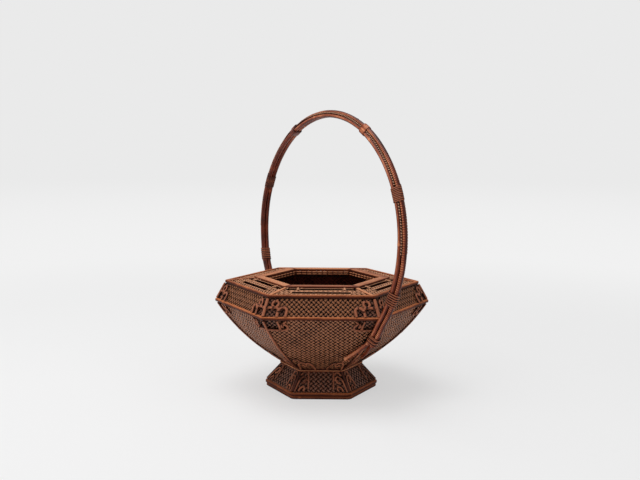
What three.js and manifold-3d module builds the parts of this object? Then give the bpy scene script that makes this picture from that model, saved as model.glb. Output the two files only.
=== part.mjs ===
// A hexagonal flower basket of split and woven bamboo with one tall hoop handle.
// Millimetres, +Z up. The origin is the centre of the foot's underside. +X points at one of the two corners
// where the handle is lashed, so the handle stands in the XZ plane.

import * as THREE from 'three';
import { mergeVertices } from 'three/addons/utils/BufferGeometryUtils.js';
import Module from 'manifold-3d';

// Driving dimensions. A "corner" value is a distance from the basket's axis to a corner of a hexagon.

const SIDES = 6;
const GAP = 0.3; // between pieces that touch

// Corner lines, where the outer faces of neighbouring panels would meet
const FOOT_CORNER = 85.5;
const WAIST_CORNER = 58.5;
const BELT_CORNER = 163.4;
const RIM_CORNER = 147.2;
const WAIST_Z = 39;
const BELT_Z = 135.5;
const RIM_Z = 164.4;
const BOWL_SWELL = 8.8; // how far the bowl's corner line bows out from its chord
const BOWL_STEPS = 5;

const PANEL_THICKNESS = 2.2;
const FLOOR_THICKNESS = 2.6;
const LINING = { thickness: 1.2, insideBowl: 3.3, insideFoot: 2.9, overFloor: 2.4 }; // inside the corner line
const STAVE_RADIUS = 2.0;
const POST_RADIUS = 2.4;
const STAVE_BEND = 2.5; // bend of each stave's middle line at the waist
const STAVE_SIDES = 7;

const HOOP_OUTSIDE = { foot: 1.3, belt: 2.2, rim: 2.8 }; // rings' outer corners, outside the corner line
const FOOT_HOOP = { corner: FOOT_CORNER + HOOP_OUTSIDE.foot, width: 6, height: 4.7, rounding: 9, bevel: 1.1 };
const FOOT_HOOP_STEP = 1.6; // how much wider the upper foot hoop is
const WAIST_RING_RADIUS = 1.1;
const BELT = { corner: BELT_CORNER + HOOP_OUTSIDE.belt, width: 5.2, height: 4.6, chamfer: 1.1 };
const RIM = { corner: RIM_CORNER + HOOP_OUTSIDE.rim, width: 5.0, height: 5.0, chamfer: 1.3 };
const MOUTH_SETBACK = 42.7; // corner of the mouth rim, inside the corner line at the rim
const MOUTH_RISE = 8.2; // top of the mouth rim, above the rim ring's middle
const MOUTH = { corner: RIM_CORNER - MOUTH_SETBACK, width: 13.4, height: 3.6, chamfer: 0.9 };
const MOUTH_TOP_Z = RIM_Z + MOUTH_RISE;

const DECK_THICKNESS = 2.0;
const DECK_DROP_AT_RIM = 1.4; // deck's upper face below the top of the rim ring
const DECK_DROP_AT_MOUTH = 2.0; // deck's upper face below the top of the mouth rim
const MITRE_BAR = { width: 4.6, height: 2.4, proud: 0.9 };
const OUTER_SLOT = { share: 0.35, width: 6.0, length: 84 }; // share of the deck's width, from the rim ring
const INNER_SLOT = { share: 0.8, width: 6.0, length: 64 };

const COLLAR = { depth: 9.5, thickness: 1.6, setback: 1.4 };
const THROAT_HOOP_RADIUS = 1.5;

// Bent-cane scrolls in the open corners of the band and of the top of the bowl. Their points are given as
// distances from the corner line, along the panel, and up or down the panel's slope from the belt's middle.
const SCROLL = { radius: 1.15, widen: 1.5, sides: 5, rootRadius: 0.8, rootAbove: 0.5, clearOfPost: 3.4 };
const OPEN_CORNER = 17.6; // width of the band's open corners
const LINK_UP = 15.5; // the cane from the post to the arch
const ARCH = { from: 19.3, radius: 6, spring: 9.6, foot: 3.4, thicker: 0.15, steps: 6 };
const LOOP = { from: 12.6, radius: 5.2, turn: 320, tighten: 0.62, thinner: 0.15, steps: 9 };
const SILL = { down: 20, length: 31, rise: 3.5 }; // the cane below the windows under the belt
const WINDOW_MARGIN = 1.2; // from a scroll cane's middle to the edge of the window beside it

const HANDLE_OVERHANG = 47.6; // widest point of the bundle's middle line, outside the belt's corners
const HANDLE_WIDEST_Z = 240;
const HANDLE_RISE = 180.5; // from the widest points to the top, along half an ellipse
const LEG_STANDOFF = 7.0; // bundle's middle line outside the stave's middle line
const HANDLE_LEAN = { from: 145, top: 11 }; // sideways, from this height up to the hoop's top
const ROD_RADIUS = 3.5; // in the legs
const ROD_TOP_RADIUS = 3.0; // between the splice bands
const ROD_SIDES = 8;
const ROD_STEPS = 46;
const PRONG = { tipRadius: 2.6, tipZ: 68, spread: 15.5 }; // spread: from the corner line, along the panel

// Places on the hoop: degrees of its ellipse up from the widest points, shares of the way from there down to the
// belt for the -X and the +X leg, and a drop below the belt
const SPLICE = { degreesUp: 59.8, length: 13, thickness: 0.9 };
const WINDING = { radius: 1.0, pitch: 2.65, stepsPerTurn: 12, sides: 5 };
const MID_WINDING = { degreesUp: 23.2, turns: 8 };
const LOW_WINDING = { sharesDown: [0.54, 0.66], turns: 8 };
const LASHING = { drop: 30, turns: 5 };
const LASHING_NOTCH = { halfWidth: 5.4, ends: 1.6 }; // in the panels, for the lashing to pass

const COLOUR = {
  rod: 0x7a3c22, ring: 0x84452a, weave: 0x5c3826, stave: 0x8a4b2c, cane: 0x6b3120, floor: 0x3a241a,
};

// Hexagon, corner lines and profiles

const APOTHEM = Math.cos(Math.PI / SIDES); // inradius of a hexagon over its corner radius
const { lerp, degToRad } = THREE.MathUtils;
const cornerAngle = (k) => (k * 2 * Math.PI) / SIDES;
const inCornerPlane = (point, angle) => new THREE.Vector3(point.x, 0, point.y).applyAxisAngle(UP, angle);
const UP = new THREE.Vector3(0, 0, 1);
const footTop = 2 * FOOT_HOOP.height + GAP;
const beltBottom = BELT_Z - BELT.height / 2;
const beltTop = BELT_Z + BELT.height / 2;
const rimBottom = RIM_Z - RIM.height / 2;
const rimTop = RIM_Z + RIM.height / 2;
const handleHalfSpan = BELT_CORNER + HANDLE_OVERHANG;
const handleTopZ = HANDLE_WIDEST_Z + HANDLE_RISE;
const onHoop = (degreesUp) => HANDLE_WIDEST_Z + HANDLE_RISE * Math.sin(degToRad(degreesUp));
const lashingZ = BELT_Z - LASHING.drop;
const mouthBottom = MOUTH_TOP_Z - MOUTH.height;

// The bowl's corner line is an arc in the corner plane. place runs from 0 at the waist to 1 at the belt.
const bowlChord = new THREE.Vector2(BELT_CORNER - WAIST_CORNER, BELT_Z - WAIST_Z);
const bowlArcRadius = bowlChord.lengthSq() / (8 * BOWL_SWELL) + BOWL_SWELL / 2;
const bowlArcHalf = Math.asin(bowlChord.length() / 2 / bowlArcRadius);
const bowlArcCentre = new THREE.Vector2(
  (WAIST_CORNER + BELT_CORNER) / 2 - (bowlArcRadius - BOWL_SWELL) * Math.sin(bowlChord.angle()),
  (WAIST_Z + BELT_Z) / 2 + (bowlArcRadius - BOWL_SWELL) * Math.cos(bowlChord.angle()),
);

function bowlLine(place, outside = 0) {
  const angle = bowlChord.angle() - Math.PI / 2 + lerp(-bowlArcHalf, bowlArcHalf, place);
  const direction = new THREE.Vector2(Math.cos(angle), Math.sin(angle));
  return bowlArcCentre.clone().addScaledVector(direction, bowlArcRadius + outside);
}

// The place whose point, moved outside the corner line by a distance, has the height z
function bowlPlaceAt(z, outside = 0) {
  const angle = Math.asin((z - bowlArcCentre.y) / (bowlArcRadius + outside));
  return (angle - bowlChord.angle() + Math.PI / 2 + bowlArcHalf) / (2 * bowlArcHalf);
}

const footLine = (z) => lerp(WAIST_CORNER, FOOT_CORNER, (WAIST_Z - z) / (WAIST_Z - footTop));
const bandLine = (z) => lerp(BELT_CORNER, RIM_CORNER, (z - BELT_Z) / (RIM_Z - BELT_Z));

// A closed hexagonal ring or wall from a closed profile of (corner radius, z) points
function hexagonal(profile) {
  const geometry = new THREE.LatheGeometry([...profile, profile[0]], SIDES, Math.PI / SIDES);
  return geometry.rotateX(Math.PI / 2);
}

// An upright rectangle with cut corners. Its width is measured square to the hexagon's sides.
function ringProfile({ corner, width, height, chamfer }, bottom) {
  const inner = corner - width / APOTHEM;
  const across = chamfer / APOTHEM;
  const top = bottom + height;
  return [
    [inner + across, bottom], [corner - across, bottom], [corner, bottom + chamfer], [corner, top - chamfer],
    [corner - across, top], [inner + across, top], [inner, top - chamfer], [inner, bottom + chamfer],
  ].map(([x, z]) => new THREE.Vector2(x, z));
}

function roundProfile(corner, z, radius, sides = 8) {
  const points = [];
  for (let i = 0; i < sides; i++) {
    const angle = ((i + 0.5) * 2 * Math.PI) / sides;
    points.push(new THREE.Vector2(corner + (radius * Math.cos(angle)) / APOTHEM, z + radius * Math.sin(angle)));
  }
  return points;
}

// A wall of even thickness behind an outer line of (corner radius, z) points, listed upwards
function wallProfile(outer, thickness) {
  const inner = outer.map((point, i) => {
    const along = outer[Math.min(i + 1, outer.length - 1)].clone().sub(outer[Math.max(i - 1, 0)]);
    const slope = new THREE.Vector2(along.x * APOTHEM, along.y).normalize();
    return new THREE.Vector2(point.x - (slope.y * thickness) / APOTHEM, point.y + slope.x * thickness);
  });
  return [...outer, ...inner.reverse()];
}

// Solids

const wasm = await Module();
wasm.setup();

function solid(geometry) {
  const bare = geometry.clone();
  for (const name of Object.keys(bare.attributes)) {
    if (name !== 'position') bare.deleteAttribute(name);
  }
  const merged = mergeVertices(bare, 1e-4);
  return new wasm.Manifold(new wasm.Mesh({
    numProp: 3,
    vertProperties: new Float32Array(merged.attributes.position.array),
    triVerts: new Uint32Array(merged.index.array),
  }));
}

function surface(manifold) {
  const mesh = manifold.getMesh();
  const geometry = new THREE.BufferGeometry();
  geometry.setAttribute('position', new THREE.BufferAttribute(mesh.vertProperties, 3));
  geometry.setIndex(new THREE.BufferAttribute(mesh.triVerts, 1));
  return geometry;
}

const joined = (geometries) => surface(geometries.map(solid).reduce((sum, next) => sum.add(next)));
const convexHull = (points) => surface(wasm.Manifold.hull(points.map(({ x, y, z }) => [x, y, z])));

function cut(geometry, tools) {
  return surface(tools.map(solid).reduce((rest, tool) => rest.subtract(tool), solid(geometry)));
}

// One sixth of a hexagonal wall, kept clear of both of its corner planes
function sixth(wall, k, clearance) {
  const near = clearance / Math.sin(Math.PI / SIDES);
  const far = 2 * BELT_CORNER;
  const spread = (far - near) * Math.tan(Math.PI / SIDES);
  const wedge = new THREE.Shape([
    new THREE.Vector2(near, 0), new THREE.Vector2(far, -spread), new THREE.Vector2(far, spread),
  ]);
  const cutter = new THREE.ExtrudeGeometry(wedge, { depth: handleTopZ, bevelEnabled: false });
  cutter.rotateZ(cornerAngle(k) + Math.PI / SIDES);
  return surface(solid(wall).intersect(solid(cutter)));
}

// A box with its middle at a point and its three sizes along three directions
function block(middle, axes, sizes) {
  const box = new THREE.BoxGeometry(...sizes);
  return box.applyMatrix4(new THREE.Matrix4().makeBasis(...axes).setPosition(middle));
}

// A closed tube through sections. Each section has a middle, two directions across and an outline.
function loft(sections) {
  const count = sections[0].outline.length;
  const positions = [];
  const indices = [];
  for (const { middle, first, second, outline } of sections) {
    for (const { x, y } of outline) {
      positions.push(...middle.clone().addScaledVector(first, x).addScaledVector(second, y));
    }
  }
  for (let i = 0; i + 1 < sections.length; i++) {
    for (let j = 0; j < count; j++) {
      const a = i * count + j;
      const b = i * count + ((j + 1) % count);
      indices.push(a, b, a + count, b, b + count, a + count);
    }
  }
  const last = (sections.length - 1) * count;
  for (let j = 1; j + 1 < count; j++) {
    indices.push(0, j + 1, j, last, last + j, last + j + 1);
  }
  const geometry = new THREE.BufferGeometry();
  geometry.setAttribute('position', new THREE.Float32BufferAttribute(positions, 3));
  geometry.setIndex(indices);
  return geometry;
}

function circle(radius, sides) {
  const points = [];
  for (let i = 0; i < sides; i++) {
    const angle = ((i + 0.5) * 2 * Math.PI) / sides;
    points.push(new THREE.Vector2(radius * Math.cos(angle), radius * Math.sin(angle)));
  }
  return points;
}

// A cane through a list of points. across(i) is a direction that never lies along the path, and widen makes the
// cane wider than thick, square to that direction.
function cane(points, across, radiusAt, sides, widen = 1) {
  return loft(points.map((middle, i) => {
    const after = points[Math.min(i + 1, points.length - 1)];
    const along = after.clone().sub(points[Math.max(i - 1, 0)]).normalize();
    const first = new THREE.Vector3().crossVectors(across(i), along).normalize();
    const second = new THREE.Vector3().crossVectors(along, first);
    const outline = circle(radiusAt(i), sides).map(({ x, y }) => new THREE.Vector2(widen * x, y));
    return { middle, first, second, outline };
  }));
}

const basket = new THREE.Group();

function add(name, geometry, color, roughness = 0.45) {
  const mesh = new THREE.Mesh(geometry, new THREE.MeshStandardMaterial({ color, roughness, metalness: 0 }));
  mesh.name = name;
  basket.add(mesh);
}

function addSixths(name, wall, clearance, finish = (geometry) => geometry) {
  for (let k = 0; k < SIDES; k++) {
    add(`${name}_${k + 1}`, finish(sixth(wall, k, clearance), k), COLOUR.weave, 0.6);
  }
}

// Foot: two stacked hoops with rounded corners, then six leaning panels

function roundedHexagon(corner, rounding) {
  const path = new THREE.Path();
  const centre = corner - rounding / APOTHEM;
  for (let k = 0; k < SIDES; k++) {
    const middle = cornerAngle(k);
    path.absarc(centre * Math.cos(middle), centre * Math.sin(middle), rounding,
      middle - Math.PI / SIDES, middle + Math.PI / SIDES, false);
  }
  return path.getPoints(2);
}

function roundedHoop({ corner, width, height, rounding, bevel }, bottom) {
  const outline = new THREE.Shape(roundedHexagon(corner, rounding));
  outline.holes.push(new THREE.Path(roundedHexagon(corner - width / APOTHEM, rounding - width)));
  const hoop = new THREE.ExtrudeGeometry(outline, {
    depth: height - 2 * bevel, bevelThickness: bevel, bevelSize: bevel, bevelOffset: -bevel, bevelSegments: 1,
  });
  return hoop.translate(0, 0, bottom + bevel);
}

const upperFootHoop = { ...FOOT_HOOP, corner: FOOT_HOOP.corner + FOOT_HOOP_STEP };
add('foot_hoop_lower', roundedHoop(FOOT_HOOP, 0), COLOUR.ring, 0.4);
add('foot_hoop_upper', roundedHoop(upperFootHoop, FOOT_HOOP.height + GAP), COLOUR.ring, 0.4);

const staveClearance = STAVE_RADIUS + GAP;
const footLean = Math.atan2((FOOT_CORNER - WAIST_CORNER) * APOTHEM, WAIST_Z - footTop);
const footPanelBottom = footTop + GAP + PANEL_THICKNESS * Math.sin(footLean);
const footWall = wallProfile([footPanelBottom, WAIST_Z - GAP / 2].map((z) => new THREE.Vector2(footLine(z), z)),
  PANEL_THICKNESS);
addSixths('foot_panel', hexagonal(footWall), staveClearance);

// Scrolls. A slope gives the corner line's point at a distance from the belt's middle, along the panel.

const bandSlopeLength = Math.hypot((BELT_CORNER - RIM_CORNER) * APOTHEM, RIM_Z - BELT_Z);
const bowlSlopeLength = Math.hypot(bowlChord.x * APOTHEM, bowlChord.y);
const upBand = (up) => new THREE.Vector2(
  lerp(BELT_CORNER, RIM_CORNER, up / bandSlopeLength), lerp(BELT_Z, RIM_Z, up / bandSlopeLength));
const downBowl = (down) => bowlLine(1 - down / bowlSlopeLength);

// Directions on the panel beside corner k, at a distance along its slope: sideways from the corner, and outwards
function panelFrame(slope, distance, k, side) {
  const here = inCornerPlane(slope(distance), cornerAngle(k));
  const sideways = inCornerPlane(slope(distance), cornerAngle(k + side)).sub(here).normalize();
  const along = inCornerPlane(slope(distance + 0.5).sub(slope(distance - 0.5)), cornerAngle(k));
  const outwards = new THREE.Vector3().crossVectors(sideways, along).normalize();
  if (outwards.dot(here) < 0) outwards.negate();
  return { here, sideways, outwards };
}

function onPanel(slope, [away, distance, above], k, side) {
  const { here, sideways, outwards } = panelFrame(slope, distance, k, side);
  return here.addScaledVector(sideways, away).addScaledVector(outwards, above);
}

// A cane that lies on a panel. One that is rooted starts thinner, inside the post.
function scrollCane(slope, points, k, side, radius = SCROLL.radius, rooted = false) {
  const placed = points.map(([away, distance]) => [away, distance, radius + GAP]);
  if (rooted) placed.unshift([SCROLL.rootAbove, points[0][1], SCROLL.rootAbove]);
  const { outwards } = panelFrame(slope, points[0][1], k, side);
  return cane(placed.map((point) => onPanel(slope, point, k, side)), () => outwards,
    (i) => (rooted && i === 0 ? SCROLL.rootRadius : radius), SCROLL.sides, SCROLL.widen);
}

// A prism through a panel, from an outline of [away, distance] points
function panelWindow(slope, outline, k, side) {
  const [inside, outside] = [-3, 3].map((above) => outline.map(([away, distance]) =>
    onPanel(slope, [away, distance, above], k, side)));
  return convexHull([...inside, ...outside]);
}

const archPoints = (radius) => Array.from({ length: ARCH.steps + 1 }, (_, i) => {
  const angle = Math.PI * (1 - i / ARCH.steps);
  return [ARCH.from + ARCH.radius + radius * Math.cos(angle), ARCH.spring + radius * Math.sin(angle)];
});

function archWindow(k, side) {
  const radius = ARCH.radius - WINDOW_MARGIN;
  const middle = ARCH.from + ARCH.radius;
  return panelWindow(upBand,
    [[middle - radius, 0], ...archPoints(radius), [middle + radius, 0]], k, side);
}

// In the band: a link from the post, an arch that stands on the belt, and a loop that curls up from the link
function bandScroll(k, side) {
  const loop = Array.from({ length: LOOP.steps + 1 }, (_, i) => {
    const angle = degToRad(LOOP.turn) * (i / LOOP.steps);
    const size = LOOP.radius * lerp(1, LOOP.tighten, i / LOOP.steps);
    return [LOOP.from + size * Math.sin(angle), LINK_UP + LOOP.radius - size * Math.cos(angle)];
  });
  const arch = [[ARCH.from, ARCH.foot], ...archPoints(ARCH.radius), [ARCH.from + 2 * ARCH.radius, ARCH.foot]];
  const link = [[SCROLL.clearOfPost, LINK_UP], [ARCH.from + 1, ARCH.spring + 3]];
  link.splice(1, 0, [LOOP.from + 1, LINK_UP]);
  return [
    scrollCane(upBand, link, k, side, SCROLL.radius, true),
    scrollCane(upBand, arch, k, side, SCROLL.radius + ARCH.thicker),
    scrollCane(upBand, loop, k, side, SCROLL.radius - LOOP.thinner),
  ];
}

// In the top of the bowl: a sill from the stave that turns up at its end, and a stem from it to the belt
function bowlScroll(k, side) {
  const sill = [
    [SCROLL.clearOfPost, SILL.down], [ARCH.from, SILL.down], [SILL.length - SILL.rise, SILL.down - 0.6],
    [SILL.length, SILL.down - SILL.rise], [SILL.length - 0.4, SILL.down - 2.4 * SILL.rise],
    [SILL.length - 4, SILL.down - 3.6 * SILL.rise], [ARCH.from, ARCH.foot + 2],
  ];
  const stem = [[ARCH.from, ARCH.foot + 0.6], [ARCH.from, SILL.down]];
  return [
    scrollCane(downBowl, sill, k, side, SCROLL.radius, true),
    scrollCane(downBowl, stem, k, side, SCROLL.radius + ARCH.thicker),
  ];
}

// The two windows beside a corner of a bowl panel, on either side of the stem
function bowlWindows(k, side) {
  const top = ARCH.foot + 1.8;
  const bottom = SILL.down - WINDOW_MARGIN;
  const nearEnd = [STAVE_RADIUS + 2, ARCH.from - WINDOW_MARGIN];
  const farEnd = [ARCH.from + WINDOW_MARGIN, SILL.length - WINDOW_MARGIN];
  return [
    panelWindow(downBowl, [
      [nearEnd[0], top], [nearEnd[1], top], [nearEnd[1], bottom], [nearEnd[0], bottom],
    ], k, side),
    panelWindow(downBowl, [
      [farEnd[0], top + 3], [farEnd[1] - 1, SILL.down / 2], [farEnd[1] - 1, bottom - SILL.rise / 2],
      [farEnd[1] - SILL.rise, bottom], [farEnd[0], bottom],
    ], k, side),
  ];
}

// Bowl: six panels that swell outwards between the waist and the belt

const bowlTopLean = Math.atan2((bowlLine(1).x - bowlLine(0.95).x) * APOTHEM, bowlLine(1).y - bowlLine(0.95).y);
const bowlPanelTop = bowlPlaceAt(beltBottom - GAP - PANEL_THICKNESS * Math.sin(bowlTopLean));
const bowlPanelBottom = bowlPlaceAt(WAIST_Z + GAP / 2);
const bowlOuter = [];
for (let i = 0; i <= BOWL_STEPS; i++) {
  bowlOuter.push(bowlLine(lerp(bowlPanelBottom, bowlPanelTop, i / BOWL_STEPS)));
}

const lashingPlace = bowlPlaceAt(lashingZ, LEG_STANDOFF);
const lashingLength = LASHING.turns * WINDING.pitch + 2 * WINDING.radius;

// A gap in the panels beside the stave, where the lashing goes through
function lashingNotch(angle) {
  const below = bowlLine(lashingPlace - 0.01);
  const slope = bowlLine(lashingPlace + 0.01).sub(below).normalize();
  const along = inCornerPlane(slope, angle);
  const sideways = new THREE.Vector3(0, 1, 0).applyAxisAngle(UP, angle);
  const through = new THREE.Vector3().crossVectors(along, sideways);
  const sizes = [lashingLength + 2 * LASHING_NOTCH.ends, 2 * LASHING_NOTCH.halfWidth, 8 * PANEL_THICKNESS];
  return block(inCornerPlane(bowlLine(lashingPlace), angle), [along, sideways, through], sizes);
}

const lashingNotches = [lashingNotch(0), lashingNotch(Math.PI)];
const besideHandle = (k) => [0, SIDES / 2].some((corner) => k === corner || (k + 1) % SIDES === corner);
addSixths('bowl_panel', hexagonal(wallProfile(bowlOuter, PANEL_THICKNESS)), staveClearance, (panel, k) => {
  const notches = besideHandle(k) ? lashingNotches : [];
  return cut(panel, [...bowlWindows(k, 1), ...bowlWindows(k + 1, -1), ...notches]);
});

// Corner staves: each rises from the foot hoop, bends at the waist and follows the bowl's corner to the belt

const footDirection = new THREE.Vector2(WAIST_CORNER - FOOT_CORNER, WAIST_Z - footTop).normalize();
const bowlDirection = bowlLine(0.01).sub(bowlLine(0)).normalize();
const waistTurn = Math.acos(footDirection.dot(bowlDirection));
const waistTrim = STAVE_BEND * Math.tan(waistTurn / 2);
const waistPoint = new THREE.Vector2(WAIST_CORNER, WAIST_Z);
const waistBendMiddle = waistPoint.clone()
  .addScaledVector(bowlDirection.clone().sub(footDirection).normalize(), STAVE_BEND / Math.cos(waistTurn / 2));

function stavePoints() {
  const footEnd = footTop + GAP + STAVE_RADIUS * Math.abs(footDirection.x);
  const topDirection = bowlLine(1).sub(bowlLine(0.95)).normalize();
  const topEnd = beltBottom - GAP - STAVE_RADIUS * topDirection.x;
  const points = [new THREE.Vector2(footLine(footEnd), footEnd)];
  const start = waistPoint.clone().addScaledVector(footDirection, -waistTrim).sub(waistBendMiddle);
  for (let i = 0; i <= 4; i++) {
    const turned = start.clone().rotateAround(new THREE.Vector2(), -waistTurn * (i / 4));
    points.push(waistBendMiddle.clone().add(turned));
  }
  const from = waistTrim / bowlChord.length();
  for (let i = 1; i <= BOWL_STEPS; i++) {
    points.push(bowlLine(lerp(from, bowlPlaceAt(topEnd), i / BOWL_STEPS)));
  }
  return points;
}

for (let k = 0; k < SIDES; k++) {
  const points = stavePoints().map((point) => inCornerPlane(point, cornerAngle(k)));
  const sideways = new THREE.Vector3(0, 1, 0).applyAxisAngle(UP, cornerAngle(k));
  const stave = cane(points, () => sideways, () => STAVE_RADIUS, STAVE_SIDES);
  add(`corner_stave_${k + 1}`, joined([stave, ...bowlScroll(k, 1), ...bowlScroll(k, -1)]), COLOUR.stave);
}

// The waist ring lies in the hollow of the staves and touches them both above and below the waist.
function waistRingPlace() {
  const side = new THREE.Vector3(-Math.sin(Math.PI / SIDES), Math.cos(Math.PI / SIDES), 0);
  const [above, below] = [bowlDirection, footDirection].map(({ x, y }) => {
    const across = new THREE.Vector3(x, 0, y).cross(side).normalize();
    return across.multiplyScalar(Math.sign(across.x));
  });
  const away = STAVE_RADIUS + GAP + WAIST_RING_RADIUS;
  const scale = away / (above.x * below.z - above.z * below.x);
  return new THREE.Vector2(WAIST_CORNER + (below.z - above.z) * scale, WAIST_Z + (above.x - below.x) * scale);
}

const waistRing = waistRingPlace();
add('waist_ring', hexagonal(roundProfile(waistRing.x, waistRing.y, WAIST_RING_RADIUS)), COLOUR.cane);

const floorCorner = footWall[2].x - GAP / APOTHEM;
const floorBottom = WAIST_Z - FLOOR_THICKNESS / 2;
const floorTop = WAIST_Z + FLOOR_THICKNESS / 2;
const floorOutline = [[0, floorBottom], [floorCorner, floorBottom], [floorCorner, floorTop], [0, floorTop]];
add('bowl_floor', hexagonal(floorOutline.map(([x, z]) => new THREE.Vector2(x, z))), COLOUR.floor, 0.7);

// Band: belt ring, six panels that lean in, six corner posts with their scrolls, and the rim ring

add('belt_ring', hexagonal(ringProfile(BELT, beltBottom)), COLOUR.ring, 0.4);
add('rim_ring', hexagonal(ringProfile(RIM, rimBottom)), COLOUR.ring, 0.4);

const bandLean = Math.atan2((BELT_CORNER - RIM_CORNER) * APOTHEM, RIM_Z - BELT_Z);
const bandPanelBottom = beltTop + GAP + PANEL_THICKNESS * Math.sin(bandLean);
const bandWall = [bandPanelBottom, rimBottom - GAP].map((z) => new THREE.Vector2(bandLine(z), z));
addSixths('band_panel', hexagonal(wallProfile(bandWall, PANEL_THICKNESS)), OPEN_CORNER * APOTHEM,
  (panel, k) => cut(panel, [archWindow(k, 1), archWindow(k + 1, -1)]));

// Linings: thin woven walls close inside the panels, one from the waist to the rim and one in the foot

const footInwards = LINING.insideFoot / footDirection.y;
const footLiningEnds = [footTop + GAP, floorBottom - GAP];
const footLining = footLiningEnds.map((z) => new THREE.Vector2(footLine(z) - footInwards, z));
add('foot_lining', hexagonal(wallProfile(footLining, LINING.thickness)), COLOUR.floor, 0.7);

// The bowl's lining starts a little up the slope, so that nothing overhangs the floor plate.
const bowlLining = [];
const liningEnds = [floorTop + LINING.overFloor, BELT_Z].map((z) => bowlPlaceAt(z, -LINING.insideBowl));
for (let i = 0; i <= BOWL_STEPS; i++) {
  bowlLining.push(bowlLine(lerp(...liningEnds, i / BOWL_STEPS), -LINING.insideBowl));
}
// At the belt the lining passes inside the belt ring.
bowlLining[BOWL_STEPS].x = Math.min(bowlLining[BOWL_STEPS].x, BELT.corner - (BELT.width + GAP) / APOTHEM);
const bandDirection = new THREE.Vector2(RIM_CORNER - BELT_CORNER, RIM_Z - BELT_Z).normalize();
const liningTop = rimBottom - GAP;
bowlLining.push(new THREE.Vector2(bandLine(liningTop) - LINING.insideBowl / bandDirection.y, liningTop));
add('bowl_lining', cut(hexagonal(wallProfile(bowlLining, LINING.thickness)), lashingNotches), COLOUR.floor, 0.7);

for (let k = 0; k < SIDES; k++) {
  const inset = POST_RADIUS * Math.sin(Math.atan2(BELT_CORNER - RIM_CORNER, RIM_Z - BELT_Z));
  const ends = [beltTop + GAP + inset, rimBottom - GAP - inset];
  const points = ends.map((z) => inCornerPlane(new THREE.Vector2(bandLine(z), z), cornerAngle(k)));
  const sideways = new THREE.Vector3(0, 1, 0).applyAxisAngle(UP, cornerAngle(k));
  const post = cane(points, () => sideways, () => POST_RADIUS, STAVE_SIDES);
  add(`band_post_${k + 1}`, joined([post, ...bandScroll(k, 1), ...bandScroll(k, -1)]), COLOUR.stave);
}

// Deck: six panels with two slots each, and the mouth rim with a mitre bar over each joint

const rimInnerCorner = RIM.corner - RIM.width / APOTHEM;
const deckOuter = new THREE.Vector2(rimInnerCorner - GAP / APOTHEM, rimTop - DECK_DROP_AT_RIM);
const deckInner = new THREE.Vector2(MOUTH.corner + GAP / APOTHEM, MOUTH_TOP_Z - DECK_DROP_AT_MOUTH);
const deckSlope = Math.atan2(deckInner.y - deckOuter.y, (deckOuter.x - deckInner.x) * APOTHEM);
const deckWidth = (deckOuter.x - deckInner.x) * APOTHEM / Math.cos(deckSlope);

function deckSlot({ share, width, length }, k) {
  const angle = cornerAngle(k) + Math.PI / SIDES;
  const inwards = new THREE.Vector3(-Math.cos(deckSlope), 0, Math.sin(deckSlope)).applyAxisAngle(UP, angle);
  const sideways = new THREE.Vector3(0, 1, 0).applyAxisAngle(UP, angle);
  const through = new THREE.Vector3().crossVectors(inwards, sideways);
  const edge = inCornerPlane(new THREE.Vector2(deckOuter.x * APOTHEM, deckOuter.y), angle);
  return block(edge.addScaledVector(inwards, share * deckWidth), [inwards, sideways, through],
    [width, length, 4 * DECK_THICKNESS]);
}

addSixths('deck_panel', hexagonal(wallProfile([deckOuter, deckInner], DECK_THICKNESS)), MITRE_BAR.width / 2 + GAP,
  (panel, k) => cut(panel, [deckSlot(OUTER_SLOT, k), deckSlot(INNER_SLOT, k)]));

function mitreBar(k) {
  const outerEnd = deckOuter.clone();
  outerEnd.x -= (MITRE_BAR.width / 2) * Math.tan(Math.PI / SIDES);
  const innerEnd = new THREE.Vector2(MOUTH.corner - MITRE_BAR.width, deckInner.y);
  const middle = outerEnd.clone().add(innerEnd).multiplyScalar(0.5);
  middle.y += MITRE_BAR.proud - MITRE_BAR.height / 2;
  const along = inCornerPlane(innerEnd.clone().sub(outerEnd).normalize(), cornerAngle(k));
  const sideways = new THREE.Vector3(0, 1, 0).applyAxisAngle(UP, cornerAngle(k));
  const upwards = new THREE.Vector3().crossVectors(along, sideways);
  return block(inCornerPlane(middle, cornerAngle(k)), [along, sideways, upwards],
    [outerEnd.distanceTo(innerEnd), MITRE_BAR.width, MITRE_BAR.height]);
}

const mitreBars = Array.from({ length: SIDES }, (_, k) => mitreBar(k));
add('mouth_frame', joined([hexagonal(ringProfile(MOUTH, mouthBottom)), ...mitreBars]), COLOUR.ring, 0.4);

// Throat: a collar that hangs under the mouth rim, with two thin hoops inside it

const collarInner = MOUTH.corner - MOUTH.width / APOTHEM + COLLAR.setback;
const collarTop = mouthBottom - GAP;
const collarCorner = collarInner + COLLAR.thickness / APOTHEM;
const collarOutside = [collarTop - COLLAR.depth, collarTop].map((z) => new THREE.Vector2(collarCorner, z));
add('throat_collar', hexagonal(wallProfile(collarOutside, COLLAR.thickness)), COLOUR.weave, 0.6);

const throatHoopCorner = collarInner - (THROAT_HOOP_RADIUS + GAP) / APOTHEM;
const upperThroatZ = collarTop - THROAT_HOOP_RADIUS;
const lowerThroatZ = upperThroatZ - 2 * THROAT_HOOP_RADIUS - GAP;
add('throat_hoop_upper', hexagonal(roundProfile(throatHoopCorner, upperThroatZ, THROAT_HOOP_RADIUS)), COLOUR.cane);
add('throat_hoop_lower', hexagonal(roundProfile(throatHoopCorner, lowerThroatZ, THROAT_HOOP_RADIUS)), COLOUR.cane);

// Handle. Its middle line is half an ellipse above the widest points, one arc below each of them, and then a
// stretch beside the corner stave. It is worked out in the XZ plane for the +X leg and mirrored.

const lashingEnd = bowlPlaceAt(lashingZ - lashingLength / 2 - 2, LEG_STANDOFF);

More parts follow.
